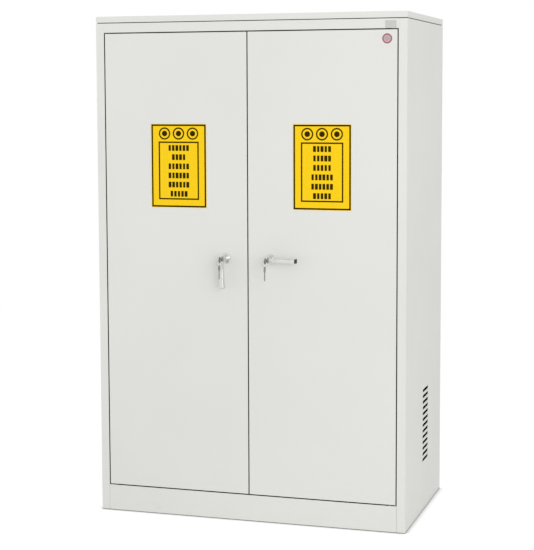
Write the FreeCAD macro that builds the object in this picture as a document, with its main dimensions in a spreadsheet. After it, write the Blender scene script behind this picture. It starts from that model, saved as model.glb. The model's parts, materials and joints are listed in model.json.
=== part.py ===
import FreeCAD, Part
import math
import os
from types import SimpleNamespace

import Sketcher
from FreeCAD import Placement, Rotation, Vector

# A two-door steel safety cabinet for reagents. The frame's origin lies on the floor under
# the middle of the cabinet's overall box, +X to the right, +Y to the back and +Z up.

# Driving dimensions, in millimetres.
DRIVING = {
    "width": 1200,  # carcass, side to side
    "depth": 680,  # carcass, front face to rear face
    "height": 1900,  # floor to the top of the cover
    "skin": 1.5,  # steel sheet
    "fold": 1.2,  # outer radius where a sheet is folded
    "cover_height": 22.5,  # skirt of the top cover
    "cover_flange": 26,  # flange turned in under the cover
    "seal_height": 3,  # strip between carcass and cover
    "seal_width": 18,
    "seal_inset": 4,
    "stile_width": 32,  # front fold of each side panel
    "rear_fold": 20,
    "rail_height": 35,  # top rail, under the roof sheet
    "rail_upturn": 20,
    "plinth_height": 99.5,
    "plinth_fold": 24,
    "door_gap": 4,  # gap round each door
    "door_depth": 25,
    "hinge_inset": 14,  # hinge axis from the door's outer edge
    "hinge_setback": 8,  # hinge axis behind the front face
    "hinge_pin_radius": 3.5,
    "hinge_pin_length": 17,  # pin inside the door
    "hinge_collar_radius": 5.5,
    "bush_radius": 6,
    "bush_length": 20,
    "running": 0.05,  # radial clearance of a turning fit
    "clearance": 0.3,  # clearance between pieces that move apart
    "partition_width": 25,
    "post_width": 60,  # flange of the centre post behind the meeting edges
    "post_setback": 3,  # door's inner face to the post
    "gasket_width": 14,
    "gasket_inset": 5,
    "stiffener_width": 40,
    "stiffener_end": 46,  # door's edge to the end of its stiffener
    "vent_count": 13,
    "vent_pitch": 22.6,
    "vent_height": 12,
    "vent_length": 104,
    "vent_first": 198,  # lowest vent above the floor
    "vent_middle": 372,  # middle of the vents behind the front face
    "placard_width": 220,
    "placard_height": 314,
    "placard_depth": 1,
    "placard_middle": 1340,  # above the floor
    "left_placard_offset": 270.5,  # from the middle of the cabinet
    "right_placard_offset": 285.8,
    "handle_offset": 88,  # handle axis from the middle of the cabinet
    "handle_height": 997,
    "rosette_radius": 20,
    "rosette_depth": 6,
    "rosette_edge": 2,
    "boss_radius": 12.5,
    "boss_reach": 50,  # front of the lever's boss, from the door's face
    "lever_length": 106,  # handle axis to the front edge of the lever's end
    "lever_width": 13,
    "lever_root": 40,  # where the arm begins to swell
    "lever_root_inner": 36,
    "lever_root_outer": 48,
    "lever_end_inner": 28,
    "lever_end_outer": 54,
    "lever_slant": 4.6,  # set-back of the slanted end face
    "lever_edge": 1.5,
    "lever_foot_length": 11,  # wide end of the lever
    "lever_foot_width": 18,
    "cap_length": 4,
    "cap_rim": 1.2,  # metal round the cap in the lever's end
    "plug_radius": 8,
    "plug_proud": 1.5,
    "bore_depth": 31.5,  # lock bore in the boss
    "spindle_radius": 5,
    "spindle_socket": 10,
    "key_thickness": 2,
    "key_bow_radius": 11,
    "key_hole_radius": 2.2,
    "key_hole_offset": 6.5,  # hole from the middle of the bow
    "key_length": 53,
    "key_blade_height": 8,
    "key_cut": 2.2,  # depth of the notches in the blade
    "key_standoff": 4,  # bow of the inserted key, in front of the plug
    "key_slot_room": 0.1,
    "ring_radius": 11,
    "ring_wire": 0.9,
    "case_width": 60,  # lock case inside the door
    "case_height": 90,
    "cam_length": 68,
    "cam_width": 16,
    "cam_depth": 4,
    "cam_standoff": 6.5,  # door's inner face to the cam
    "cam_collar": 9,
    "crank": 18,  # rod pins from the spindle's axis, and the rods' travel
    "crank_arm": 14,
    "rod_pin_radius": 3,
    "rod_width": 14,
    "rod_depth": 3,
    "rod_spacing": 0.6,  # between cam and rod, and between the two rods
    "rod_room": 0.5,
    "rod_slack_share": 0.212,  # how far a crank leads a steady rod, as a share of the crank
    "rod_rim": 5.5,  # metal round the window of a rod
    "rod_end": 1.5,  # rod tip inside the door's edge, at rest
    "rod_hole_room": 3,
    "guide_width": 26,
    "guide_height": 14,
    "guide_cheek": 1.5,
    "guide_near": 150,  # guide from the handle axis
    "guide_far": 60,  # guide from the door's end
    "upright_width": 25,
    "upright_depth": 12,
    "upright_front": 110,  # middle of the front uprights, behind the front face
    "upright_rear": 110,  # middle of the rear uprights, in front of the rear face
    "upright_drop": 93,  # roof sheet to the top of the uprights
    "upright_slot_width": 5,
    "upright_slot_height": 14,
    "upright_slot_pitch": 120,
    "upright_slots": 13,
    "upright_slot_first": 180,
    "tray_room": 2,  # tray to upright
    "tray_front": 60,  # tray behind the front face
    "tray_rear": 40,  # tray in front of the rear face
    "tray_height": 50,
    "shelf_count": 3,
    "shelf_first": 480,
    "shelf_pitch": 420,
    "clip_reach": 22,
    "clip_width": 20,
    "clip_drop": 25,
    "clip_depth": 2,
    "sump_height": 80,
    "foot_radius": 20,
    "foot_height": 8,
    "foot_stem_radius": 5,
    "foot_stem_top": 70,
    "foot_side": 40,  # foot from the side of the carcass
    "foot_end": 60,  # foot from the front or rear face
    "bracket_length": 50,
    "bracket_depth": 4,
    "bracket_height": 40,
    "spigot_radius": 50,
    "spigot_offset": 300,  # spigot from the middle of the cabinet
    "spigot_rear": 120,  # middle of the spigot, in front of the rear face
    "spigot_rise": 20,  # above the cover
    "spigot_shoulder": 53,  # radius of the part that fills the cover's hole
    "spigot_flange": 12,
    "spigot_room": 0.5,
    "fixing_side": 100,  # wall fixing hole in the back, from the side of the carcass
    "fixing_drop": 73,  # roof sheet to the wall fixing holes
    "fixing_radius": 4.5,
    "overrun": 5,  # how far a cut runs past what it cuts
}

LEFT = "left"
RIGHT = "right"
SIDES = (LEFT, RIGHT)
# Notches of a key's blade, as shares of the blade's length.
NOTCH_START_SHARES = (0.2, 0.42, 0.64)
NOTCH_SPAN_SHARE = 0.14

doc = FreeCAD.newDocument("reagent_cabinet")
sizes = doc.addObject("Spreadsheet::Sheet", "Sizes")
for row, (alias, value) in enumerate(DRIVING.items(), start=1):
    sizes.set(f"A{row}", alias)
    sizes.set(f"B{row}", str(value))
    sizes.setAlias(f"B{row}", alias)
doc.recompute()


class Term:
    """A size that knows its value and the sum of sheet cells it comes from."""

    def __init__(self, text, value):
        self.text = text
        self.value = value

    def __add__(self, other):
        other = term(other)
        return Term(f"({self.text} + {other.text})", self.value + other.value)

    def __sub__(self, other):
        other = term(other)
        return Term(f"({self.text} - {other.text})", self.value - other.value)

    def __mul__(self, other):
        other = term(other)
        return Term(f"({self.text} * {other.text})", self.value * other.value)

    def __truediv__(self, other):
        other = term(other)
        return Term(f"({self.text} / {other.text})", self.value / other.value)

    def __neg__(self):
        return Term(f"(0 - {self.text})", -self.value)


def term(number):
    return number if isinstance(number, Term) else Term(repr(number), number)


ZERO = term(0)
s = SimpleNamespace(**{a: Term(f"Sizes.{a}", float(sizes.get(a))) for a in DRIVING})

# Planes and levels that several pieces share.
half = s.width / 2
inner = half - s.skin
key_hole_reach = s.boss_reach + s.plug_proud + s.key_standoff + s.key_bow_radius + s.key_hole_offset
reach = key_hole_reach + s.key_bow_radius
front = (reach - s.depth) / 2
rear = front + s.depth
back_face = rear - s.skin * 2
carcass_top = s.height - s.cover_height - s.seal_height
wall_top = carcass_top - s.skin
stile_edge = half - s.stile_width
rail_bottom = carcass_top - s.rail_height
door_low = s.plinth_height + s.door_gap
door_high = rail_bottom - s.door_gap
door_outer = stile_edge - s.door_gap
door_inner = s.door_gap / 2
door_back = front + s.door_depth
hinge_x = door_outer - s.hinge_inset
hinge_y = front + s.hinge_setback
post_face = door_back + s.post_setback
lip_depth = post_face - front
partition_face = s.partition_width / 2
cam_front = door_back + s.cam_standoff
cam_back = cam_front + s.cam_depth
top_rod_plane = cam_back + s.rod_spacing
bottom_rod_plane = top_rod_plane + s.rod_depth + s.rod_spacing
rod_planes_end = bottom_rod_plane + s.rod_depth
spigot_y = rear - s.spigot_rear
upright_lines = (front + s.upright_front, rear - s.upright_rear)
upright_top = wall_top - s.upright_drop
shelf_numbers = range(1, int(s.shelf_count.value) + 1)

nodes = []


def node(solid, name):
    """Names a finished piece and keeps it for the check and the export."""
    solid.Label = name
    nodes.append(solid)
    return solid


def signed(side, low, high):
    """Mirrors a span that is given for the right side."""
    return (low, high) if side == RIGHT else (-high, -low)


def across(side, place):
    return place if side == RIGHT else -place


def around(middle, size):
    return (middle - size / 2, middle + size / 2)


def box(name, x, y, z):
    """A block between two places on each axis."""
    solid = doc.addObject("Part::Box", name)
    for size_name, axis, (low, high) in zip(("Length", "Width", "Height"), "xyz", (x, y, z)):
        solid.setExpression(size_name, (high - low).text)
        solid.setExpression(f"Placement.Base.{axis}", low.text)
    return solid


def place(solid, x, y, z, rotation=Rotation()):
    solid.Placement = Placement(Vector(), rotation)
    for axis, where in zip("xyz", (x, y, z)):
        solid.setExpression(f"Placement.Base.{axis}", where.text)
    return solid


ALONG_Z = Rotation()
ALONG_Y = Rotation(Vector(1, 0, 0), -90)


def cylinder(name, x, y, z, radius, length, direction=ALONG_Z):
    solid = doc.addObject("Part::Cylinder", name)
    solid.setExpression("Radius", radius.text)
    solid.setExpression("Height", length.text)
    return place(solid, x, y, z, direction)


def joined(name, *pieces):
    solid = doc.addObject("Part::MultiFuse", name)
    solid.Shapes = list(pieces)
    solid.Refine = True
    return solid


def cut(name, base, *tools):
    solid = doc.addObject("Part::Cut", name)
    solid.Base = base
    solid.Tool = tools[0] if len(tools) == 1 else joined(f"{name}_tools", *tools)
    return solid


def group(name, pieces):
    """Several separate solids that share one node."""
    solid = doc.addObject("Part::Compound", name)
    solid.Links = list(pieces)
    return node(solid, name)


def new_body(name):
    return doc.addObject("PartDesign::Body", name)


def sketch_on(body, name, role, offset=None):
    sketch = body.newObject("Sketcher::SketchObject", name)
    plane = next(f for f in body.Origin.OriginFeatures if f.Role == role)
    sketch.AttachmentSupport = (plane, [""])
    sketch.MapMode = "FlatFace"
    if offset is not None:
        sketch.setExpression("AttachmentOffset.Base.z", offset.text)
    return sketch


def fix_point(sketch, geometry, position, x, y):
    """Ties one point of a sketch to the sheet, measured from the sketch's origin."""
    for kind, where, axis in (("DistanceX", x, -2), ("DistanceY", y, -1)):
        if where.value == 0:
            sketch.addConstraint(Sketcher.Constraint("PointOnObject", geometry, position, axis))
            continue
        ahead = where.value > 0
        ends = (-1, 1, geometry, position) if ahead else (geometry, position, -1, 1)
        span = where if ahead else -where
        index = sketch.addConstraint(Sketcher.Constraint(kind, *ends, span.value))
        sketch.setExpression(f"Constraints[{index}]", span.text)


def outline(sketch, points):
    """A closed outline of straight lines."""
    first = sketch.GeometryCount
    count = len(points)
    places = [Vector(x.value, y.value, 0) for x, y in points]
    for i in range(count):
        sketch.addGeometry(Part.LineSegment(places[i], places[(i + 1) % count]), False)
    for i in range(count):
        following = first + (i + 1) % count
        sketch.addConstraint(Sketcher.Constraint("Coincident", first + i, 2, following, 1))
    for i, (x, y) in enumerate(points):
        fix_point(sketch, first + i, 1, x, y)
    return sketch


def rectangle(sketch, x, y):
    return outline(sketch, [(x[0], y[0]), (x[1], y[0]), (x[1], y[1]), (x[0], y[1])])


def circle(sketch, x, y, radius):
    geometry = sketch.addGeometry(
        Part.Circle(Vector(x.value, y.value, 0), Vector(0, 0, 1), radius.value), False
    )
    fix_point(sketch, geometry, 3, x, y)
    index = sketch.addConstraint(Sketcher.Constraint("Radius", geometry, radius.value))
    sketch.setExpression(f"Constraints[{index}]", radius.text)
    return sketch


def round_slot(sketch, x, y, width):
    """A level slot with round ends, between two end centres."""
    radius = width / 2
    low, high = x[0].value, x[1].value
    up = Vector(0, radius.value, 0)
    right_end = Vector(high, y.value, 0)
    left_end = Vector(low, y.value, 0)
    quarter = math.pi / 2
    normal = Vector(0, 0, 1)
    pieces = (
        Part.LineSegment(left_end - up, right_end - up),
        Part.ArcOfCircle(Part.Circle(right_end, normal, radius.value), -quarter, quarter),
        Part.LineSegment(right_end + up, left_end + up),
        Part.ArcOfCircle(Part.Circle(left_end, normal, radius.value), quarter, 3 * quarter),
    )
    for piece in pieces:
        sketch.addGeometry(piece, False)
    for i in range(4):
        sketch.addConstraint(Sketcher.Constraint("Tangent", i, 2, (i + 1) % 4, 1))
    fix_point(sketch, 1, 3, x[1], y)
    fix_point(sketch, 3, 3, x[0], y)
    index = sketch.addConstraint(Sketcher.Constraint("Radius", 1, radius.value))
    sketch.setExpression(f"Constraints[{index}]", radius.text)
    return sketch


def pad(body, sketch, length, both_ways=False, reverse=False):
    feature = body.newObject("PartDesign::Pad", "Pad")
    feature.Profile = sketch
    feature.setExpression("Length", length.text)
    feature.Midplane = both_ways
    feature.Reversed = reverse
    sketch.Visibility = False
    return feature


def pocket(body, sketch, length=None, reverse=False, both_ways=False):
    """A cut of the given depth, or right through both ways where none is given."""
    feature = body.newObject("PartDesign::Pocket", "Pocket")
    feature.Profile = sketch
    if length is None:
        feature.Type = "ThroughAll"
        feature.Midplane = True
    else:
        feature.setExpression("Length", length.text)
        feature.Midplane = both_ways
        feature.Reversed = reverse
    return feature


def fillet(body, radius, wanted):
    """Rounds the edges of a body's last feature that pass the test."""
    doc.recompute()
    last = body.Tip
    names = [f"Edge{i}" for i, e in enumerate(last.Shape.Edges, start=1) if wanted(e)]
    feature = body.newObject("PartDesign::Fillet", "Fillet")
    feature.Base = (last, names)
    feature.setExpression("Radius", radius.text)
    return feature


NEAR = s.clearance.value


def at(value, size):
    return abs(value - size.value) < NEAR


def upright_edge(edge, x, y):
    """True for an edge along Z at a place of the body's own frame."""
    b = edge.BoundBox
    return at(b.XMin, x) and at(b.XMax, x) and at(b.YMin, y) and at(b.YMax, y)


def side_panel(side):
    """Side sheet with its front stile, stile lip and rear fold, and the air vents."""
    body = new_body(f"{side}_side_panel")

    def inward(size):
        return size if side == LEFT else -size

    stile, lip, skin = s.stile_width, lip_depth, s.skin
    points = [
        (ZERO, ZERO), (stile, ZERO), (stile, lip), (stile - skin, lip), (stile - skin, skin),
        (skin, skin), (skin, s.depth - skin), (s.rear_fold, s.depth - skin),
        (s.rear_fold, s.depth), (ZERO, s.depth),
    ]
    profile = outline(sketch_on(body, "profile", "XY_Plane"), [(inward(u), v) for u, v in points])
    pad(body, profile, wall_top)
    corners = ((ZERO, ZERO), (inward(stile), ZERO), (ZERO, s.depth))
    fillet(body, s.fold, lambda e: any(upright_edge(e, u, v) for u, v in corners))
    straight = s.vent_length - s.vent_height
    vent = round_slot(
        sketch_on(body, "vent", "YZ_Plane"), around(s.vent_middle, straight), s.vent_first, s.vent_height
    )
    opening = pocket(body, vent)
    pattern = body.newObject("PartDesign::LinearPattern", "Vents")
    pattern.Originals = [opening]
    pattern.Direction = (vent, ["V_Axis"])
    pattern.setExpression("Length", (s.vent_pitch * (s.vent_count - 1)).text)
    pattern.setExpression("Occurrences", s.vent_count.text)
    body.Tip = pattern
    place(body, -half if side == LEFT else half, front, ZERO)
    return node(body, f"{side}_side_panel")


def back_panel():
    """Sheet between the side panels, held by their rear folds, with two wall fixing holes."""
    sheet = box("back_sheet", (-inner, inner), (back_face, rear - s.skin), (ZERO, wall_top))
    holes = [
        cylinder("fixing_hole", across(side, half - s.fixing_side), back_face - s.overrun,
                 wall_top - s.fixing_drop, s.fixing_radius, s.skin + s.overrun * 2, ALONG_Y)
        for side in SIDES
    ]
    return node(cut("back_panel", sheet, *holes), "back_panel")


def spigot_hole(name, side, radius, low, high):
    return cylinder(name, across(side, s.spigot_offset), spigot_y, low - s.overrun, radius,
                    high - low + s.overrun * 2)


def roof_panel():
    sheet = box("roof_sheet", (-half, half), (front, rear), (wall_top, carcass_top))
    bore = s.spigot_radius - s.skin
    holes = [spigot_hole("roof_hole", side, bore, wall_top, carcass_top) for side in SIDES]
    return node(cut("roof_panel", sheet, *holes), "roof_panel")


def top_cover():
    """Folded cover: a top sheet, a skirt all round and a flange turned in below it."""
    body = new_body("top_cover")
    pad(body, rectangle(sketch_on(body, "outside", "XY_Plane"), (ZERO, s.width), (ZERO, s.depth)),
        s.cover_height)

    def outer(edge):
        b = edge.BoundBox
        return at(b.ZMax, s.cover_height) and (at(b.ZMin, s.cover_height) or at(b.ZMin, ZERO))

    fillet(body, s.fold, outer)
    flange = s.cover_flange
    mouth = rectangle(sketch_on(body, "mouth", "XY_Plane"), (flange, s.width - flange),
                      (flange, s.depth - flange))
    pocket(body, mouth, s.skin * 2, reverse=True)
    skin = s.skin
    hollow = rectangle(sketch_on(body, "hollow", "XY_Plane", skin), (skin, s.width - skin),
                       (skin, s.depth - skin))
    pocket(body, hollow, s.cover_height - skin * 2, reverse=True)
    holes = sketch_on(body, "spigot_holes", "XY_Plane")
    for side in SIDES:
        circle(holes, half + across(side, s.spigot_offset), s.depth - s.spigot_rear,
               s.spigot_shoulder + s.spigot_room)
    pocket(body, holes)
    place(body, -half, front, carcass_top + s.seal_height)
    return node(body, "top_cover")


def seal_ring(name, inset):
    return box(name, (inset - half, half - inset), (front + inset, rear - inset),
               (carcass_top, carcass_top + s.seal_height))


def cover_seal():
    ring = cut("cover_seal", seal_ring("seal_outside", s.seal_inset),
               seal_ring("seal_inside", s.seal_inset + s.seal_width))
    return node(ring, "cover_seal")


def front_top_rail():
    """Rail over the doors, folded back and turned up behind their rods."""
    body = new_body("front_top_rail")
    skin = s.skin
    deep = lip_depth
    high = wall_top - rail_bottom
    points = [
        (ZERO, ZERO), (deep, ZERO), (deep, s.rail_upturn), (deep - skin, s.rail_upturn),
        (deep - skin, skin), (skin, skin), (skin, high), (ZERO, high),
    ]
    pad(body, outline(sketch_on(body, "profile", "YZ_Plane"), points), stile_edge * 2)

    def lower_front(edge):
        b = edge.BoundBox
        return at(b.YMax, ZERO) and at(b.ZMax, ZERO)

    fillet(body, s.fold, lower_front)
    place(body, -stile_edge, front, rail_bottom)
    return node(body, "front_top_rail")


def plinth_front():
    """Plinth sheet between the stiles, folded back along the floor."""
    body = new_body("plinth_front")
    skin = s.skin
    points = [
        (ZERO, ZERO), (s.plinth_fold, ZERO), (s.plinth_fold, skin), (skin, skin),
        (skin, s.plinth_height), (ZERO, s.plinth_height),
    ]
    pad(body, outline(sketch_on(body, "profile", "YZ_Plane"), points), stile_edge * 2)
    place(body, -stile_edge, front, ZERO)
    return node(body, "plinth_front")


def rod_places(side):
    """The middles of a door's top and bottom rods, across the cabinet."""
    axis = across(side, s.handle_offset)
    return axis - s.crank, axis + s.crank


def floor_panel():
    """Deck behind the plinth, notched for the stile lips, with a hole for each lower rod."""
    body = new_body("floor_panel")
    notch = lip_depth - s.skin
    deep = back_face - front - s.skin
    points = [
        (-stile_edge, ZERO), (stile_edge, ZERO), (stile_edge, notch), (inner, notch),
        (inner, deep), (-inner, deep), (-inner, notch), (-stile_edge, notch),
    ]
    pad(body, outline(sketch_on(body, "deck", "XY_Plane"), points), s.skin)
    holes = sketch_on(body, "rod_holes", "XY_Plane")
    for side in SIDES:
        middle = rod_places(side)[1]
        low = bottom_rod_plane - front - s.skin - s.rod_hole_room
        high = low + s.rod_depth + s.rod_hole_room * 2
        rectangle(holes, around(middle, s.rod_width + s.rod_hole_room * 2), (low, high))
    pocket(body, holes)
    place(body, ZERO, front + s.skin, s.plinth_height - s.skin)
    return node(body, "floor_panel")


def centre_partition():
    """Hollow wall between the two compartments, with the centre post's strip along its front."""
    levels = (s.plinth_height, wall_top)
    strip_back = post_face + s.skin
    post = box("centre_post", around(ZERO, s.post_width), (post_face, strip_back), levels)
    wall = box("partition_wall", around(ZERO, s.partition_width), (strip_back, back_face), levels)
    hollow = box("partition_hollow", around(ZERO, s.partition_width - s.skin * 2),
                 (strip_back + s.skin, back_face - s.skin),
                 (levels[0] - s.overrun, levels[1] + s.overrun))
    return group("centre_partition", [post, cut("partition", wall, hollow)])


def upright(name, wall, side_of_wall, middle):
    """One slotted channel standing on the deck against a wall."""
    far = wall + s.upright_depth if side_of_wall > 0 else wall - s.upright_depth
    low, high = (wall, far) if side_of_wall > 0 else (far, wall)
    solid = box(f"{name}_bar", (low, high), around(middle, s.upright_width),
                (s.plinth_height, upright_top))
    groove_x = (low - s.overrun, high - s.skin) if side_of_wall > 0 else (low + s.skin, high + s.overrun)
    groove = box(f"{name}_groove", groove_x, around(middle, s.upright_width - s.skin * 2),
                 (s.plinth_height - s.overrun, upright_top + s.overrun))
    slots = [
        box(f"{name}_slot", (low - s.overrun, high + s.overrun), around(middle, s.upright_slot_width),
            around(s.upright_slot_first + s.upright_slot_pitch * i, s.upright_slot_height))
        for i in range(int(s.upright_slots.value))
    ]
    return cut(name, solid, groove, *slots)


def walls(side):
    """A compartment's two walls, each with the direction its fittings face."""
    if side == RIGHT:
        return ((partition_face, 1), (inner, -1))
    return ((-partition_face, -1), (-inner, 1))


def shelf_uprights():
    bars = []
    for side in SIDES:
        for wall, direction in walls(side):
            for middle in upright_lines:
                bars.append(upright(f"{side}_upright", wall, direction, middle))
    return group("shelf_uprights", bars)


tray_near = partition_face + s.upright_depth + s.tray_room
tray_far = inner - s.upright_depth - s.tray_room


def tray(name, side, low, high_above):
    """An open tray: a floor and four walls."""
    x = signed(side, tray_near, tray_far)
    y = (front + s.tray_front, rear - s.tray_rear)
    outside = box(f"{name}_outside", x, y, (low, low + high_above))
    hollow = box(f"{name}_hollow", (x[0] + s.skin, x[1] - s.skin), (y[0] + s.skin, y[1] - s.skin),
                 (low + s.skin, low + high_above + s.overrun))
    return node(cut(name, outside, hollow), name)


def shelf_level(number):
    return s.shelf_first + s.shelf_pitch * (number - 1)


def shelf_clips():
    """Angle clips on the uprights' faces, with the shelves resting on them."""
    clips = []
    for side in SIDES:
        for wall, direction in walls(side):
            face = wall + s.upright_depth * direction
            for middle in upright_lines:
                for number in shelf_numbers:
                    top = shelf_level(number)
                    y = around(middle, s.clip_width)
                    leg = sorted((face, face + s.clip_reach * direction), key=lambda t: t.value)
                    stem = sorted((face, face + s.clip_depth * direction), key=lambda t: t.value)
                    clips.append(joined(
                        "clip",
                        box("clip_leg", leg, y, (top - s.clip_depth, top)),
                        box("clip_stem", stem, y, (top - s.clip_drop, top - s.clip_depth)),
                    ))
    return group("shelf_clips", clips)


def foot_places():
    for side in SIDES:
        for y in (front + s.foot_end, rear - s.foot_end):
            yield side, across(side, half - s.foot_side), y


def levelling_feet():
    feet = []
    for _, x, y in foot_places():
        feet.append(joined(
            "foot",
            cylinder("foot_pad", x, y, ZERO, s.foot_radius, s.foot_height),
            cylinder("foot_stem", x, y, ZERO, s.foot_stem_radius, s.foot_stem_top),
        ))
    return group("levelling_feet", feet)


def foot_brackets():
    brackets = []
    for side, x, y in foot_places():
        span = signed(side, inner - s.bracket_length, inner)
        plate = box("bracket_plate", span, around(y, s.bracket_length),
                    (s.bracket_height, s.bracket_height + s.bracket_depth))
        hole = cylinder("bracket_hole", x, y, s.bracket_height - s.overrun,
                        s.foot_stem_radius + s.running, s.bracket_depth + s.overrun * 2)
        brackets.append(cut("bracket", plate, hole))
    return group("foot_brackets", brackets)


def exhaust_spigots():
    """Duct collars, one over each compartment, flanged to the roof sheet."""
    spigots = []
    for side in SIDES:
        x, y = across(side, s.spigot_offset), spigot_y
        tube = cylinder("spigot_tube", x, y, s.height, s.spigot_radius, s.spigot_rise)
        shoulder = cylinder("spigot_shoulder", x, y, carcass_top, s.spigot_shoulder,
                            s.height - carcass_top)
        flange = cylinder("spigot_flange", x, y, carcass_top, s.spigot_shoulder + s.spigot_flange,
                          s.skin)
        bore = spigot_hole("spigot_bore", side, s.spigot_radius - s.skin, carcass_top,
                           s.height + s.spigot_rise)
        spigots.append(cut("spigot", joined("spigot_outside", tube, shoulder, flange), bore))
    return group("exhaust_spigots", spigots)


def hinge_pins():
    """Upper and lower pivot of each door, with a collar that keeps the door's gap."""
    pins = []
    collar = s.door_gap - s.clearance
    length = s.door_gap + s.hinge_pin_length
    for side in SIDES:
        x = across(side, hinge_x)
        for end, low, collar_low in (
            ("lower", s.plinth_height, s.plinth_height),
            ("upper", rail_bottom - length, rail_bottom - collar),
        ):
            pins.append(joined(
                f"{side}_{end}_pin",
                cylinder("pivot", x, hinge_y, low, s.hinge_pin_radius, length),
                cylinder("collar", x, hinge_y, collar_low, s.hinge_collar_radius, collar),
            ))
    return group("hinge_pins", pins)


def door_span(side):
    return signed(side, door_inner, door_outer)


def axis_of(side):
    return across(side, s.handle_offset)


def door_skin(side):
    """Outer door sheet, folded back along all four edges."""
    name = f"{side}_door_skin"
    body = new_body(name)
    x0, x1 = door_span(side)
    wide = x1 - x0
    tall = door_high - door_low
    face = sketch_on(body, "face", "XZ_Plane")
    pad(body, rectangle(face, (ZERO, wide), (ZERO, tall)), s.door_depth, reverse=True)

    def outer(edge):
        b = edge.BoundBox
        flat_front = at(b.YMin, ZERO) and at(b.YMax, ZERO)
        corner = at(b.YMin, ZERO) and at(b.YMax, s.door_depth)
        return flat_front or corner

    fillet(body, s.fold, outer)
    skin = s.skin
    hollow = rectangle(sketch_on(body, "hollow", "XZ_Plane", -s.door_depth), (skin, wide - skin),
                       (skin, tall - skin))
    pocket(body, hollow, s.door_depth - skin, reverse=True)
    spindle = sketch_on(body, "spindle_hole", "XZ_Plane")
    circle(spindle, axis_of(side) - x0, s.handle_height - door_low, s.plug_radius)
    pocket(body, spindle)
    pivots = sketch_on(body, "pivot_holes", "XY_Plane")
    circle(pivots, across(side, hinge_x) - x0, s.hinge_setback, s.bush_radius)
    pocket(body, pivots)
    place(body, x0, front, door_low)
    return node(body, name)


def door_inner_panel(side):
    name = f"{side}_door_inner_panel"
    x0, x1 = door_span(side)
    sheet = box(f"{name}_sheet", (x0 + s.skin, x1 - s.skin), (door_back - s.skin, door_back),
                (door_low + s.skin, door_high - s.skin))
    hole = cylinder(f"{name}_hole", axis_of(side), door_back - s.skin - s.overrun, s.handle_height,
                    s.plug_radius, s.skin + s.overrun * 2, ALONG_Y)
    return node(cut(name, sheet, hole), name)


def door_stiffener(side):
    """Box channel between the two door sheets, halfway across."""
    name = f"{side}_door_stiffener"
    middle = across(side, (door_inner + door_outer) / 2)
    y = (front + s.skin, door_back - s.skin)
    z = (door_low + s.stiffener_end, door_high - s.stiffener_end)
    outside = box(f"{name}_outside", around(middle, s.stiffener_width), y, z)
    hollow = box(f"{name}_hollow", around(middle, s.stiffener_width - s.skin * 2),
                 (y[0] + s.skin, y[1] - s.skin), (z[0] - s.overrun, z[1] + s.overrun))
    return node(cut(name, outside, hollow), name)


def hinge_bushes(side):
    """Bushes in the door's ends that turn on the pivots."""
    bushes = []
    x = across(side, hinge_x)
    for low in (door_low, door_high - s.bush_length):
        outside = cylinder("bush_outside", x, hinge_y, low, s.bush_radius, s.bush_length)
        bore = cylinder("bush_bore", x, hinge_y, low - s.overrun, s.hinge_pin_radius + s.running,
                        s.bush_length + s.overrun * 2)
        bushes.append(cut("bush", outside, bore))
    return group(f"{side}_hinge_bushes", bushes)


def lock_case(side):
    name = f"{side}_lock_case"
    y = (front + s.skin, door_back - s.skin)
    case = box(f"{name}_block", around(axis_of(side), s.case_width), y,
               around(s.handle_height, s.case_height))
    bore = cylinder(f"{name}_bore", axis_of(side), y[0] - s.overrun, s.handle_height,
                    s.spindle_radius + s.running, s.door_depth + s.overrun, ALONG_Y)
    return node(cut(name, case, bore), name)


def rosette(side):
    """Round rose on the door's face, with a softened front edge."""
    name = f"{side}_rosette"
    body = new_body(name)
    disc = sketch_on(body, "disc", "XZ_Plane")
    pad(body, circle(disc, ZERO, ZERO, s.rosette_radius), s.rosette_depth)

    def front_rim(edge):
        b = edge.BoundBox
        return at(b.YMin, -s.rosette_depth) and at(b.YMax, -s.rosette_depth)

    fillet(body, s.rosette_edge, front_rim)
    hole = sketch_on(body, "hole", "XZ_Plane")
    pocket(body, circle(hole, ZERO, ZERO, s.spindle_radius + s.clearance))
    place(body, axis_of(side), front, s.handle_height)
    return node(body, name)


def rod_guides(side):
    """Two guides for each rod, on the door's inner sheet."""
    guides = []
    top_x, bottom_x = rod_places(side)
    near, far = s.guide_near, s.guide_far
    rods = (
        (top_x, top_rod_plane, (s.handle_height + near, door_high - far)),
        (bottom_x, bottom_rod_plane, (s.handle_height - near, door_low + far)),
    )
    for x, plane, levels in rods:
        for level in levels:
            z = around(level, s.guide_height)
            block = box("guide_block", around(x, s.guide_width),
                        (door_back, plane + s.rod_depth + s.rod_room + s.guide_cheek), z)
            window = box("guide_window", around(x, s.rod_width + s.rod_room * 2),
                         (plane - s.rod_room, plane + s.rod_depth + s.rod_room),
                         (z[0] - s.overrun, z[1] + s.overrun))
            guides.append(cut("guide", block, window))
    return group(f"{side}_rod_guides", guides)


def meeting_gasket(side):
    name = f"{side}_meeting_gasket"
    low = door_inner + s.gasket_inset
    strip = box(name, signed(side, low, low + s.gasket_width), (door_back, post_face - s.clearance),
                (door_low + s.gasket_inset, door_high - s.gasket_inset))
    return node(strip, name)


def placard(side):
    name = f"{side}_placard"
    middle = s.right_placard_offset if side == RIGHT else -s.left_placard_offset
    plate = box(name, around(middle, s.placard_width), (front - s.placard_depth, front),
                around(s.placard_middle, s.placard_height))
    return node(plate, name)


# A lever's body is drawn with its arm along +X. The left one hangs, so it is turned down.
TURNED = {LEFT: Rotation(Vector(0, 1, 0), 90), RIGHT: Rotation()}


def on_slant(length, outward):
    """A point of the lever's slanted end, so far out from the door, at a given length."""
    share = (s.lever_end_outer - outward) / (s.lever_end_outer - s.lever_end_inner)
    return (length + s.lever_slant * share, -outward)


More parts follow.
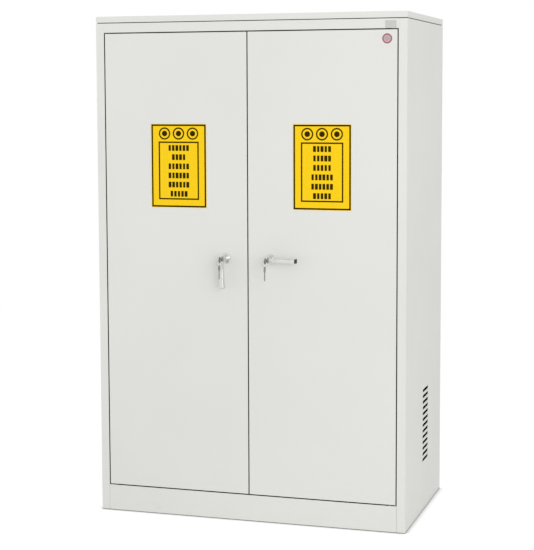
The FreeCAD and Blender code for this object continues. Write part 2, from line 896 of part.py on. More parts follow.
def on_swell(x, root, end):
    """A point of the lever's swelling side, which runs from the root to a corner of the end."""
    share = (x - s.lever_root) / (end[0] - s.lever_root)
    return (x, (end[1] + root) * share - root)


def cap_outline(body, end):
    """Side view of the cap that sits in the lever's end, or of its seat."""
    low, high = s.lever_end_inner + s.cap_rim, s.lever_end_outer - s.cap_rim
    near = s.lever_length - s.cap_length
    return outline(sketch_on(body, "cap", "XY_Plane"),
                   [on_slant(near, low), on_slant(end, low), on_slant(end, high), on_slant(near, high)])


cap_width = s.lever_foot_width - s.cap_rim * 2


def lever(side):
    """Boss, swelling arm and wide end of an L-shaped handle, bored for lock, spindle and cap."""
    name = f"{side}_lever"
    body = new_body(name)
    boss_back = s.rosette_depth + s.clearance
    boss = circle(sketch_on(body, "boss", "XZ_Plane", boss_back), ZERO, ZERO, s.boss_radius)
    pad(body, boss, s.boss_reach - boss_back)
    inner_end = on_slant(s.lever_length, s.lever_end_inner)
    outer_end = on_slant(s.lever_length, s.lever_end_outer)
    arm = outline(sketch_on(body, "arm", "XY_Plane"), [
        (ZERO, -s.lever_root_inner), (s.lever_root, -s.lever_root_inner), inner_end, outer_end,
        (s.lever_root, -s.lever_root_outer), (ZERO, -s.lever_root_outer),
    ])
    pad(body, arm, s.lever_width, both_ways=True)

    def arm_edge(edge):
        b = edge.BoundBox
        level = at(b.ZMax, term(b.ZMin)) and at(abs(b.ZMin), s.lever_width / 2)
        return level and edge.Length > s.boss_radius.value and b.XMax > s.boss_radius.value

    fillet(body, s.lever_edge, arm_edge)
    foot_start = s.lever_length - s.lever_foot_length
    foot = outline(sketch_on(body, "foot", "XY_Plane"), [
        on_swell(foot_start, s.lever_root_inner, inner_end), inner_end, outer_end,
        on_swell(foot_start, s.lever_root_outer, outer_end),
    ])
    pad(body, foot, s.lever_foot_width, both_ways=True)

    def foot_edge(edge):
        b = edge.BoundBox
        level = at(b.ZMax, term(b.ZMin)) and at(abs(b.ZMin), s.lever_foot_width / 2)
        return level and b.XMax - b.XMin > s.lever_foot_length.value - NEAR

    fillet(body, s.lever_edge, foot_edge)
    pocket(body, cap_outline(body, s.lever_length + s.overrun), cap_width, both_ways=True)
    bore = sketch_on(body, "lock_bore", "XZ_Plane", s.boss_reach)
    pocket(body, circle(bore, ZERO, ZERO, s.plug_radius + s.running), s.bore_depth)
    socket = sketch_on(body, "spindle_socket", "XZ_Plane", boss_back)
    pocket(body, circle(socket, ZERO, ZERO, s.spindle_radius), s.spindle_socket, reverse=True)
    place(body, axis_of(side), front, s.handle_height, TURNED[side])
    return node(body, name)


def lever_end_cap(side):
    name = f"{side}_lever_end_cap"
    body = new_body(name)
    pad(body, cap_outline(body, s.lever_length), cap_width, both_ways=True)
    place(body, axis_of(side), front, s.handle_height, TURNED[side])
    return node(body, name)


def latch_cam(side):
    """Spindle through the door with the latch arm and the crank that drives the rods."""
    name = f"{side}_latch_cam"
    x, z = axis_of(side), s.handle_height
    tail = front - s.rosette_depth - s.clearance - s.spindle_socket
    collar_front = door_back + s.clearance
    spindle = cylinder(f"{name}_spindle", x, tail, z, s.spindle_radius, cam_back - tail, ALONG_Y)
    collar = cylinder(f"{name}_collar", x, collar_front, z, s.cam_collar, cam_front - collar_front,
                      ALONG_Y)
    plane = (cam_front, cam_back)
    reach_z = (z, z + s.cam_length) if side == LEFT else (z - s.cam_length, z)
    arm = box(f"{name}_arm", around(x, s.cam_width), plane, reach_z)
    crank = box(f"{name}_crank", around(x, s.crank * 2 + s.crank_arm), plane, around(z, s.crank_arm))
    top_pin = cylinder(f"{name}_top_pin", x - s.crank, cam_back, z, s.rod_pin_radius,
                       top_rod_plane + s.rod_depth - cam_back, ALONG_Y)
    bottom_pin = cylinder(f"{name}_bottom_pin", x + s.crank, cam_back, z, s.rod_pin_radius,
                          rod_planes_end - cam_back, ALONG_Y)
    return node(joined(name, spindle, collar, arm, crank, top_pin, bottom_pin), name)


def rod(side, end):
    """Flat locking rod with a window at its inner end for the crank's pin."""
    name = f"{side}_{end}_rod"
    up = end == "top"
    axis, level = axis_of(side), s.handle_height
    middle = axis - s.crank if up else axis + s.crank
    plane = top_rod_plane if up else bottom_rod_plane
    y = (plane, plane + s.rod_depth)
    pin = s.rod_pin_radius + s.rod_room
    slack = s.crank * s.rod_slack_share
    window_x = (middle - pin, axis + pin) if up else (axis - pin, middle + pin)
    window_z = (level - pin, level + slack + pin) if up else (level - slack - pin, level + pin)
    plate = box(f"{name}_plate", (window_x[0] - s.rod_rim, window_x[1] + s.rod_rim), y,
                (window_z[0] - s.rod_rim, window_z[1] + s.rod_rim))
    window = box(f"{name}_window", window_x, (y[0] - s.overrun, y[1] + s.overrun), window_z)
    bar_z = (window_z[1], door_high - s.rod_end) if up else (door_low + s.rod_end, window_z[0])
    bar = box(f"{name}_bar", around(middle, s.rod_width), y, bar_z)
    return node(cut(name, joined(f"{name}_outside", plate, bar), window), name)


def key_solid(name, x, y, z, rotation):
    """A flat key: round bow with a hole, and a notched blade along +Y of its own frame."""
    body = new_body(name)
    bow_y = s.key_hole_offset
    bow = circle(sketch_on(body, "bow", "YZ_Plane"), bow_y, ZERO, s.key_bow_radius)
    pad(body, bow, s.key_thickness, both_ways=True)
    tip = s.key_length - (s.key_bow_radius - s.key_hole_offset)
    root = bow_y + s.key_bow_radius - s.key_cut
    long = tip - root
    low, high = -s.key_blade_height / 2, s.key_blade_height / 2
    points = [(root, low), (tip - s.key_cut, low), (tip, ZERO), (tip - s.key_cut, high)]
    for share in reversed(NOTCH_START_SHARES):
        start = root + long * share
        points += [(start + long * NOTCH_SPAN_SHARE, high),
                   (start + long * NOTCH_SPAN_SHARE / 2, high - s.key_cut), (start, high)]
    points.append((root, high))
    blade = outline(sketch_on(body, "blade", "YZ_Plane"), points)
    pad(body, blade, s.key_thickness, both_ways=True)
    hole = sketch_on(body, "hole", "YZ_Plane")
    pocket(body, circle(hole, ZERO, ZERO, s.key_hole_radius))
    place(body, x, y, z, rotation)
    return node(body, name)


def lock_plug(side):
    """Turning plug of the lock, slotted for the key."""
    name = f"{side}_lock_plug"
    x, z = axis_of(side), s.handle_height
    low = front - s.boss_reach - s.plug_proud
    length = s.bore_depth + s.plug_proud - s.clearance
    plug = cylinder(f"{name}_barrel", x, low, z, s.plug_radius, length, ALONG_Y)
    slot = box(f"{name}_slot", around(x, s.key_thickness + s.key_slot_room * 2),
               (low - s.overrun, low + length + s.overrun),
               around(z, s.key_blade_height + s.key_slot_room * 2))
    return node(cut(name, plug, slot), name)


hole_y = front - key_hole_reach
ring_play = s.key_hole_radius - s.ring_wire - s.clearance
ring_middle = s.handle_height - ring_play - s.ring_radius
spare_hole = ring_middle - s.ring_radius - ring_play


def key_ring(side):
    name = f"{side}_key_ring"
    ring = doc.addObject("Part::Torus", name)
    ring.setExpression("Radius1", s.ring_radius.text)
    ring.setExpression("Radius2", s.ring_wire.text)
    place(ring, axis_of(side), hole_y, ring_middle, ALONG_Y)
    return node(ring, name)


def door_set(side):
    """Everything that one door carries."""
    door_skin(side)
    door_inner_panel(side)
    door_stiffener(side)
    hinge_bushes(side)
    lock_case(side)
    rosette(side)
    rod_guides(side)
    meeting_gasket(side)
    placard(side)
    lever(side)
    lever_end_cap(side)
    latch_cam(side)
    rod(side, "top")
    rod(side, "bottom")
    lock_plug(side)
    key_solid(f"{side}_key", axis_of(side), hole_y, s.handle_height, Rotation())
    key_ring(side)
    key_solid(f"{side}_spare_key", axis_of(side), hole_y, spare_hole, Rotation(Vector(1, 0, 0), -90))


def carcass():
    """The standing cabinet, its fittings and its shelves."""
    for side in SIDES:
        side_panel(side)
    back_panel()
    roof_panel()
    top_cover()
    cover_seal()
    front_top_rail()
    plinth_front()
    floor_panel()
    centre_partition()
    shelf_uprights()
    for side in SIDES:
        for number in shelf_numbers:
            tray(f"{side}_shelf_{number}", side, shelf_level(number), s.tray_height)
        tray(f"{side}_sump_tray", side, s.plinth_height, s.sump_height)
    shelf_clips()
    levelling_feet()
    foot_brackets()
    exhaust_spigots()
    hinge_pins()


def whole_of(thing):
    """The shape that a cut starts from, or nothing where the object isn't a cut."""
    if thing.TypeId == "Part::Cut":
        return thing.Base.Shape
    if thing.TypeId in ("PartDesign::Pocket", "PartDesign::LinearPattern"):
        return thing.BaseFeature.Shape
    return None


def check_everything():
    """Stops with a plain message if an object failed, a cut took nothing or a piece is broken."""
    for thing in doc.Objects:
        bad = [state for state in thing.State if state in ("Invalid", "Error")]
        if bad:
            raise RuntimeError(f"{thing.Label} is {bad[0]}")
        whole = whole_of(thing)
        if whole is not None and whole.Volume - thing.Shape.Volume < NEAR:
            raise RuntimeError(f"{thing.Label} takes nothing away")
    for piece in nodes:
        if piece.Shape.isNull() or not piece.Shape.isValid() or not piece.Shape.Solids:
            raise RuntimeError(f"{piece.Label} has no valid solid")


carcass()
for side in SIDES:
    door_set(side)
doc.recompute()
check_everything()

os.makedirs("parts", exist_ok=True)
for piece in nodes:
    piece.Shape.exportStep(os.path.join("parts", f"{piece.Label}.step"))
print(f"{len(nodes)} pieces written")
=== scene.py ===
# %% [markdown]
# # A steel safety cabinet for reagents
#
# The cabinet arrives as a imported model: folded sheets, doors, locks, rods and shelves that
# already have their real shape and place, in metres. This notebook finishes it. Each step says
# what the real thing is, how it could be made and why this way was chosen. Loading comes
# first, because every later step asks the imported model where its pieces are.

import json
import math

import bmesh
import bpy
from mathutils import Matrix, Vector


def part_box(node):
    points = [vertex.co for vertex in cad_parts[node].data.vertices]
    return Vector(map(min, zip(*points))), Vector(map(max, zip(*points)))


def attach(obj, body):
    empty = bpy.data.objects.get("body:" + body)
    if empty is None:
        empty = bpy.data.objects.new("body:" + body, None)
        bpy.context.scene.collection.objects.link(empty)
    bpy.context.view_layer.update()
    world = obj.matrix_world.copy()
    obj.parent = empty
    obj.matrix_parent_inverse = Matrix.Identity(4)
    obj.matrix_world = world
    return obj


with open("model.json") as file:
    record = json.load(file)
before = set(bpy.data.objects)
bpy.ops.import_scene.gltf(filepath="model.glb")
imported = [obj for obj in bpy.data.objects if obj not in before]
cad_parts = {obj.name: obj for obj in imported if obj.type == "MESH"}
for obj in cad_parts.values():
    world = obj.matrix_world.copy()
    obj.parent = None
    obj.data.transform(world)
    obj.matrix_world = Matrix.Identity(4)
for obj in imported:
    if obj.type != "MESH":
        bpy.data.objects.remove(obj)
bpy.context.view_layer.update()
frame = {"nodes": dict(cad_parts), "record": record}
nodes = frame["nodes"]
SIDES = {"left": -1, "right": 1}

# %% [markdown]
# ## The camera
#
# The picture was taken from the right, at a person's eye height, with a long lens. The numbers
# below come from lines along the cabinet's edges. The upright edges hardly lean, as on
# product pictures taken with a shifted lens, so the lens is shifted a little here too. A
# larger shift would straighten the edges more, but it would push the cabinet out of the
# middle in every other view.

# %% Place the camera
IMAGE_HEIGHT = 550
FILM = 36.0
FOCAL_PIXELS = 1512.0
OPTICAL_CENTRE_Y = 236
EYE = Vector((1.7196, -5.6221, 1.6050))
YAW, PITCH, ROLL = (math.radians(angle) for angle in (-17.168, -5.342, -0.203))

forward = Vector((math.sin(YAW) * math.cos(PITCH), math.cos(YAW) * math.cos(PITCH), math.sin(PITCH)))
level = Vector((math.cos(YAW), -math.sin(YAW), 0))
upward = level.cross(forward)
across = level * math.cos(ROLL) + upward * math.sin(ROLL)
upward = upward * math.cos(ROLL) - level * math.sin(ROLL)

camera_data = bpy.data.cameras.new("camera")
camera_data.sensor_width = FILM
camera_data.lens = FOCAL_PIXELS * FILM / IMAGE_HEIGHT
camera_data.shift_y = (OPTICAL_CENTRE_Y - IMAGE_HEIGHT / 2) / IMAGE_HEIGHT
camera = bpy.data.objects.new("camera", camera_data)
turn = Matrix((across, upward, -forward)).transposed().to_4x4()
camera.matrix_world = Matrix.Translation(EYE) @ turn
bpy.context.scene.collection.objects.link(camera)
bpy.context.scene.camera = camera
bpy.context.scene.view_settings.view_transform = "Standard"
print(f"lens {camera_data.lens:.1f} mm, shift {camera_data.shift_y:.3f}")

# %% [markdown]
# ## Small helpers for node trees
#
# Materials and Geometry Nodes are both trees of nodes, and writing each link out by hand makes
# long scripts. One helper adds a node and fills its inputs: an input given as a socket is
# linked, anything else is set as a value. The rest of the notebook reads like a recipe.

# %% Write the tree helpers
def join(tree, value, socket):
    """Links a socket to an input, or sets the input to a plain value."""
    if isinstance(value, bpy.types.NodeSocket):
        tree.links.new(value, socket)
    else:
        socket.default_value = value


def add(tree, kind, inputs=None, **settings):
    """Adds a node of a kind, with its settings and its inputs by name or number."""
    made = tree.nodes.new(kind)
    for name, value in settings.items():
        setattr(made, name, value)
    for name, value in (inputs or {}).items():
        join(tree, value, made.inputs[name])
    return made


def maths(tree, operation, first, second=0.0, third=0.0):
    """One step of arithmetic in a tree."""
    made = add(tree, "ShaderNodeMath", {0: first, 1: second, 2: third}, operation=operation)
    return made.outputs[0]


def steps(tree, value, stops):
    """A colour ramp through (place, brightness or colour) stops."""
    ramp = add(tree, "ShaderNodeValToRGB", {"Fac": value})
    elements = ramp.color_ramp.elements
    while len(elements) < len(stops):
        elements.new(0.5)
    for element, (place, tone) in zip(elements, stops):
        element.position = place
        element.color = (*tone, 1) if isinstance(tone, tuple) else (tone, tone, tone, 1)
    return ramp.outputs["Color"]


def noise(tree, place, scale, detail=2.0, roughness=0.5):
    """A cloudy pattern between 0 and 1; a larger scale gives smaller clouds."""
    inputs = {"Vector": place, "Scale": scale, "Detail": detail, "Roughness": roughness}
    return add(tree, "ShaderNodeTexNoise", inputs).outputs["Fac"]


def stretched(tree, place, x, y, z):
    """The same place with each axis scaled, so a pattern runs along one of them."""
    return add(tree, "ShaderNodeMapping", {"Vector": place, "Scale": (x, y, z)}).outputs[0]


def blended(tree, share, first, second, kind="MIX"):
    """Two colours mixed; the second one counts as much as the share says."""
    made = add(tree, "ShaderNodeMix", {0: share, 6: first, 7: second}, data_type="RGBA", blend_type=kind)
    return made.outputs[2]


def random_number(tree, low, high, number, seed, whole=False):
    """A random number between two limits for each item's number, whole where asked."""
    first, kind, out = (4, "INT", 2) if whole else (2, "FLOAT", 1)
    inputs = {first: low, first + 1: high, "ID": number, "Seed": seed}
    return add(tree, "FunctionNodeRandomValue", inputs, data_type=kind).outputs[out]


def bumped(tree, shader, height, distance, below=None):
    """Raises the surface by a pattern that is so many metres deep."""
    inputs = {"Height": height, "Distance": distance, "Strength": 1.0}
    if below is not None:
        inputs["Normal"] = below
    bump = add(tree, "ShaderNodeBump", inputs).outputs["Normal"]
    join(tree, bump, shader.inputs["Normal"])
    return bump


def new_material(name, metallic=0.0, gloss=0.5):
    """A material, its tree, its shader and the object's own coordinates."""
    material = bpy.data.materials.new(name)
    material.use_nodes = True
    tree = material.node_tree
    shader = tree.nodes["Principled BSDF"]
    shader.inputs["Metallic"].default_value = metallic
    shader.inputs["Specular IOR Level"].default_value = gloss
    place = add(tree, "ShaderNodeTexCoord").outputs["Object"]
    return material, tree, shader, place


# %% [markdown]
# ## Powder coat
#
# The sheets are sprayed with dry paint powder and baked. The melted powder dries with a fine
# orange peel, about 2 mm from bump to bump and only some hundredths of a millimetre deep, on
# top of a finer grain. A picture of paint could be wrapped on, but noise textures never
# repeat and stay sharp at any distance. The tone drifts by two or three parts in a hundred,
# the gloss by more, and shoes leave faint marks low on the plinth. Where the plinth meets the
# stiles the sheets are only butted, so a hairline shows there. Along the lowest edge a dark
# line is painted shade, where the sheets meet the floor.

# %% Find the seams and the scuffs
SEAM_HALF_WIDTH = 0.0005
SCUFF_TOP = 0.11
STREAK_SCALE = 60.0

plinth_low, plinth_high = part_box("plinth_front")
FACE_Y = plinth_low.y
print("seams at x", round(plinth_high.x, 4), "below z", round(plinth_high.z, 4))


def seam_mask(tree, place):
    """1 on the hairlines between the stiles and the plinth."""
    axes = add(tree, "ShaderNodeSeparateXYZ", {0: place}).outputs
    aside = maths(tree, "SUBTRACT", maths(tree, "ABSOLUTE", axes["X"]), plinth_high.x)
    near = maths(tree, "LESS_THAN", maths(tree, "ABSOLUTE", aside), SEAM_HALF_WIDTH)
    low = maths(tree, "LESS_THAN", axes["Z"], plinth_high.z)
    in_front = maths(tree, "LESS_THAN", axes["Y"], FACE_Y + SEAM_HALF_WIDTH)
    return maths(tree, "MULTIPLY", maths(tree, "MULTIPLY", near, low), in_front)


def scuff_mask(tree, place):
    """Thin level streaks that fade out above the plinth."""
    axes = add(tree, "ShaderNodeSeparateXYZ", {0: place}).outputs
    limits = {"From Min": 0.0, "From Max": SCUFF_TOP, "To Min": 1.0, "To Max": 0.0}
    fade = add(tree, "ShaderNodeMapRange", {"Value": axes["Z"], **limits}).outputs[0]
    streaks = noise(tree, stretched(tree, place, 0.25, 1.0, 1.6), STREAK_SCALE, 4.0, 0.6)
    rare = steps(tree, streaks, [(0.62, 0.0), (0.72, 1.0)])
    return maths(tree, "MULTIPLY", rare, fade)


# %% [markdown]
# The coat lays these marks over its slowly drifting tone. Peel and grain go in as two bumps,
# one on top of the other, because sprayed paint has both sizes at once.

# %% Mix the powder coat
PEEL_SCALE, PEEL_DEPTH = 520.0, 0.00007
GRAIN_SCALE, GRAIN_DEPTH = 2600.0, 0.000008
DRIFT_SCALE, GLOSS_SCALE = 1.7, 9.0
SEAM_STRENGTH = 0.55
CONTACT_SHADE_HEIGHT = 0.0022
PAINT_GLOSS = 0.35
SCUFF_TONE, SEAM_TONE = (0.36, 0.36, 0.35, 1), (0.16, 0.16, 0.15, 1)
# Painted shade: the dark tone of the line along the lowest edge, where the sheets meet the floor.
CONTACT_SHADE_TONE = (0.12, 0.12, 0.115, 1)


def powder_coat(name, light, shade, wear):
    """Baked paint between two tones; wear says how strongly the scuffs show."""
    material, tree, shader, place = new_material(name, gloss=PAINT_GLOSS)
    drift = steps(tree, noise(tree, place, DRIFT_SCALE, 3.0), [(0.35, shade), (0.65, light)])
    marks = maths(tree, "MULTIPLY", scuff_mask(tree, place), wear)
    scuffed = blended(tree, marks, drift, SCUFF_TONE)
    seam = maths(tree, "MULTIPLY", seam_mask(tree, place), SEAM_STRENGTH)
    seamed = blended(tree, seam, scuffed, SEAM_TONE)
    z = add(tree, "ShaderNodeSeparateXYZ", {0: place}).outputs["Z"]
    # The lowest two millimetres of every sheet are painted dark: painted shade where they meet the floor.
    paint = blended(tree, maths(tree, "LESS_THAN", z, CONTACT_SHADE_HEIGHT), seamed, CONTACT_SHADE_TONE)
    join(tree, paint, shader.inputs["Base Color"])
    shine = noise(tree, place, GLOSS_SCALE, 4.0, 0.6)
    rough = add(tree, "ShaderNodeMapRange", {"Value": shine, "To Min": 0.34, "To Max": 0.5}).outputs[0]
    join(tree, rough, shader.inputs["Roughness"])
    peel = noise(tree, place, PEEL_SCALE, 1.0)
    grain = noise(tree, place, GRAIN_SCALE, 2.0)
    bumped(tree, shader, grain, GRAIN_DEPTH, bumped(tree, shader, peel, PEEL_DEPTH))
    return material


finishes = {
    "powder_coat": powder_coat("light_grey_powder_coat", (0.775, 0.780, 0.745), (0.755, 0.760, 0.727), 0.16),
    "tray_coat": powder_coat("tray_powder_coat", (0.735, 0.740, 0.715), (0.700, 0.706, 0.684), 0.0),
}
print("finishes:", list(finishes))

# %% [markdown]
# ## Bare metals
#
# Locks, rods and clips are zinc plated, the door pivots burnished and greased, the levers
# polished chrome on satin rosettes, lock plugs and rings nickel, the keys a worn nickel, and the
# bushes turned brass. The keys in the locks get a darker copy of that nickel, which is painted
# shade, and the spare ones a paler copy, which is painted light. All are the same shader with
# full metallic value. What tells them apart is how they were worked: plating grows in small
# crystals, polish leaves long swirls of finger grease, keys are brushed along their length and
# a lathe leaves rings.

# %% Make zinc plate and chrome
def zinc_plate():
    """Plating in small crystals, each a little lighter or darker than the next."""
    material, tree, shader, place = new_material("zinc_plate", metallic=1.0)
    crystals = add(tree, "ShaderNodeTexVoronoi", {"Vector": place, "Scale": 240.0, "Randomness": 1.0})
    tone = steps(tree, noise(tree, place, 26.0, 4.0), [(0.3, (0.42, 0.435, 0.45)), (0.7, (0.56, 0.57, 0.58))])
    crystal_tone = blended(tree, 0.18, tone, crystals.outputs["Color"], "SOFT_LIGHT")
    join(tree, crystal_tone, shader.inputs["Base Color"])
    rough = steps(tree, crystals.outputs["Distance"], [(0.0, 0.26), (0.8, 0.42)])
    join(tree, rough, shader.inputs["Roughness"])
    bumped(tree, shader, noise(tree, place, 900.0, 3.0), 0.00002)
    return material


def chrome(name, clean, smeared, smooth, dull):
    """Polished plating, duller and darker where fingers have smeared it."""
    material, tree, shader, place = new_material(name, metallic=1.0)
    smear = noise(tree, stretched(tree, place, 1.0, 1.0, 0.35), 55.0, 5.0, 0.65)
    join(tree, steps(tree, smear, [(0.42, smooth), (0.70, dull)]), shader.inputs["Roughness"])
    join(tree, steps(tree, smear, [(0.40, clean), (0.75, smeared)]), shader.inputs["Base Color"])
    hairs = noise(tree, stretched(tree, place, 1.0, 1.0, 9.0), 700.0, 2.0)
    bumped(tree, shader, hairs, 0.000003)
    return material


finishes["zinc"] = zinc_plate()
finishes["chrome"] = chrome("polished_chrome", (0.700, 0.705, 0.690), (0.57, 0.575, 0.56), 0.10, 0.26)
satin_chrome = chrome("satin_chrome", (0.67, 0.675, 0.66), (0.57, 0.575, 0.56), 0.22, 0.36)
print("finishes:", list(finishes))

# %% [markdown]
# Keys are stamped and brushed, so their hairlines run one way and dirt stays in them. The
# bushes come off a lathe and the pivots carry a film of grease.

# %% Make nickel, brass and burnished steel
def nickel(name, worn, bright):
    """Brushed plating, worn dark between its bright hairlines."""
    material, tree, shader, place = new_material(name, metallic=1.0)
    brushed = noise(tree, stretched(tree, place, 12.0, 0.6, 0.6), 420.0, 3.0, 0.6)
    join(tree, steps(tree, brushed, [(0.35, worn), (0.70, bright)]), shader.inputs["Base Color"])
    join(tree, steps(tree, brushed, [(0.3, 0.24), (0.8, 0.40)]), shader.inputs["Roughness"])
    bumped(tree, shader, brushed, 0.00001)
    return material


def turned_brass():
    """Brass off the lathe, with level rings and a few stains."""
    material, tree, shader, place = new_material("turned_brass", metallic=1.0)
    rings = add(tree, "ShaderNodeTexWave", {"Vector": place, "Scale": 600.0, "Distortion": 0.4},
                wave_type="BANDS", bands_direction="Z").outputs["Fac"]
    stain = noise(tree, place, 140.0, 4.0)
    join(tree, steps(tree, stain, [(0.35, (0.52, 0.38, 0.17)), (0.65, (0.72, 0.56, 0.29))]),
         shader.inputs["Base Color"])
    join(tree, steps(tree, rings, [(0.0, 0.22), (1.0, 0.36)]), shader.inputs["Roughness"])
    bumped(tree, shader, rings, 0.000012)
    return material


def burnished_steel():
    """Dark steel under a film of grease."""
    material, tree, shader, place = new_material("burnished_steel", metallic=1.0)
    grease = noise(tree, place, 240.0, 4.0)
    join(tree, steps(tree, grease, [(0.35, 0.030), (0.70, 0.085)]), shader.inputs["Base Color"])
    join(tree, steps(tree, grease, [(0.3, 0.28), (0.7, 0.50)]), shader.inputs["Roughness"])
    bumped(tree, shader, grease, 0.00002)
    return material


finishes["burnished_steel"] = burnished_steel()
# Painted shade: the keys in the locks get a darkened copy of the nickel.
finishes["nickel"] = nickel("shaded_brushed_nickel", (0.055, 0.054, 0.050), (0.22, 0.212, 0.20))
# Painted light: the spare keys get a paler copy of the same nickel.
lit_spare_nickel = nickel("lit_spare_nickel", (0.20, 0.197, 0.190), (0.42, 0.410, 0.395))
bright_nickel = nickel("bright_nickel", (0.42, 0.415, 0.40), (0.62, 0.61, 0.59))
finishes["brass"] = turned_brass()
print("finishes:", list(finishes))

# %% [markdown]
# ## Plastic and rubber
#
# The lever's end cap and the feet are black moulded plastic, whose mould was etched to a fine
# leather-like grain. The seal under the cover and the strips on the doors are closed-cell
# foam: its skin is full of small pores. Cells from a Voronoi texture give both, at two scales.

# %% Make plastic and rubber
def moulded(name, dark, pale, cell_scale, depth, rough_low, rough_high, gloss):
    """A dark moulded skin with a grain of cells of a given depth."""
    material, tree, shader, place = new_material(name, gloss=gloss)
    cells = add(tree, "ShaderNodeTexVoronoi", {"Vector": place, "Scale": cell_scale}).outputs["Distance"]
    cloud = noise(tree, place, 70.0, 4.0)
    join(tree, steps(tree, cloud, [(0.35, dark), (0.7, pale)]), shader.inputs["Base Color"])
    join(tree, steps(tree, cells, [(0.0, rough_low), (0.9, rough_high)]), shader.inputs["Roughness"])
    bumped(tree, shader, cells, depth)
    return material


finishes["black_plastic"] = moulded("moulded_black_plastic", 0.010, 0.018, 1500.0, 0.00003, 0.38, 0.55, 0.4)
# The foam is near black with no gloss, so the strips in the door gaps and the pads behind the vents paint the
# shade there.
finishes["rubber"] = moulded("black_foam_painted_shade", 0.006, 0.013, 1100.0, 0.00008, 0.80, 0.95, 0.0)
print("finishes:", list(finishes))

# %% [markdown]
# ## Printed plates
#
# The two placards are plastic plates with a printed, laminated front. Their yellow has the
# faint mottle of screen ink, and the cut edge shows the white core. The edge is found by
# place: everything behind the front skin is core.

# %% Make the yellow plate
placard_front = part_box("left_placard")[0].y
FRONT_SKIN = 0.0002
PRINT_GLOSS = 0.2
CORE_TONE = (0.80, 0.79, 0.74, 1)


def laminated_yellow():
    """Yellow print on the front and a white core behind it."""
    material, tree, shader, place = new_material("laminated_yellow_plate", gloss=PRINT_GLOSS)
    mottle = noise(tree, place, 330.0, 3.0)
    yellow = steps(tree, mottle, [(0.3, (0.950, 0.605, 0.000)), (0.7, (0.985, 0.655, 0.004))])
    y = add(tree, "ShaderNodeSeparateXYZ", {0: place}).outputs["Y"]
    behind = maths(tree, "GREATER_THAN", y, placard_front + FRONT_SKIN)
    join(tree, blended(tree, behind, yellow, CORE_TONE), shader.inputs["Base Color"])
    wave = noise(tree, place, 24.0, 2.0)
    join(tree, steps(tree, wave, [(0.3, 0.22), (0.7, 0.34)]), shader.inputs["Roughness"])
    bumped(tree, shader, wave, 0.00006)
    return material


finishes["placard"] = laminated_yellow()
print("placard front at y", round(placard_front, 4))

# %% [markdown]
# The ink, the films of the round sticker and the grey name plate are materials of their own,
# for the small pieces that follow. Ink and film are nearly one colour, and the name plate is
# brushed metal under a thin lacquer, so it shines less than bare metal.

# %% Make the ink, the films and the brushed plate
INK_GLOSS = 0.03


def flat_print(name, thin, full, rough, gloss=PRINT_GLOSS):
    """Ink or a printed film: nearly one colour, with the ink a little uneven."""
    material, tree, shader, place = new_material(name, gloss=gloss)
    cover = noise(tree, place, 900.0, 3.0)
    join(tree, steps(tree, cover, [(0.32, thin), (0.55, full)]), shader.inputs["Base Color"])
    join(tree, steps(tree, noise(tree, place, 60.0, 3.0), [(0.3, rough), (0.8, rough + 0.12)]),
         shader.inputs["Roughness"])
    bumped(tree, shader, cover, 0.000006)
    return material


ink = flat_print("dark_ink", (0.052, 0.034, 0.000), (0.026, 0.017, 0.000), 0.45, INK_GLOSS)
rose_film = flat_print("rose_film", (0.41, 0.17, 0.20), (0.35, 0.13, 0.165), 0.30)
pale_rose_film = flat_print("pale_rose_film", (0.66, 0.42, 0.45), (0.60, 0.36, 0.39), 0.30)
grey_film = flat_print("grey_film", (0.46, 0.47, 0.44), (0.38, 0.39, 0.36), 0.30)


def brushed_plate():
    """Fine level brush lines under a thin clear lacquer."""
    material, tree, shader, place = new_material("brushed_grey_plate", metallic=0.35)
    lines = noise(tree, stretched(tree, place, 0.3, 1.0, 14.0), 500.0, 2.0)
    join(tree, steps(tree, lines, [(0.3, (0.50, 0.50, 0.49)), (0.7, (0.61, 0.61, 0.60))]),
         shader.inputs["Base Color"])
    join(tree, steps(tree, lines, [(0.3, 0.34), (0.7, 0.48)]), shader.inputs["Roughness"])
    bumped(tree, shader, lines, 0.000008)
    return material


plate_finish = brushed_plate()
print("made", [made.name for made in (ink, rose_film, pale_rose_film, grey_film, plate_finish)])

# %% [markdown]
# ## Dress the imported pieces
#
# The record already names a finish for every node, so one loop gives each piece its material.
# Rosettes, lock plugs and key rings get their own shade of the same metal. The meshes
# themselves are left exactly as they came.

# %% Give every node its finish
OWN_FINISH = {}
for side in SIDES:
    OWN_FINISH[f"{side}_rosette"] = satin_chrome
    OWN_FINISH[f"{side}_lock_plug"] = bright_nickel
    OWN_FINISH[f"{side}_key_ring"] = bright_nickel
    OWN_FINISH[f"{side}_spare_key"] = lit_spare_nickel

slot_of = {part["node"]: part["material_slot"] for part in frame["record"]["subparts"]}
for name, piece in nodes.items():
    finish = OWN_FINISH.get(name, finishes[slot_of[name]])
    if not piece.material_slots:
        piece.data.materials.append(finish)
    for material_slot in piece.material_slots:
        material_slot.material = finish
print({slot: list(slot_of.values()).count(slot) for slot in finishes})

# %% [markdown]
# ## Helpers for new pieces
#
# A Geometry Nodes tree is built once, with a named input for each size. A carrier object runs
# it, the result is copied to a plain mesh, and the carrier is thrown away, so no modifier is
# left. Sizes are handed over by the socket's identifier, because names can repeat.

# %% Write the helpers for new pieces
TREE_END = "Geometry"
SOCKETS = {int: "NodeSocketInt", float: "NodeSocketFloat", tuple: "NodeSocketVector",
           bpy.types.Material: "NodeSocketMaterial"}


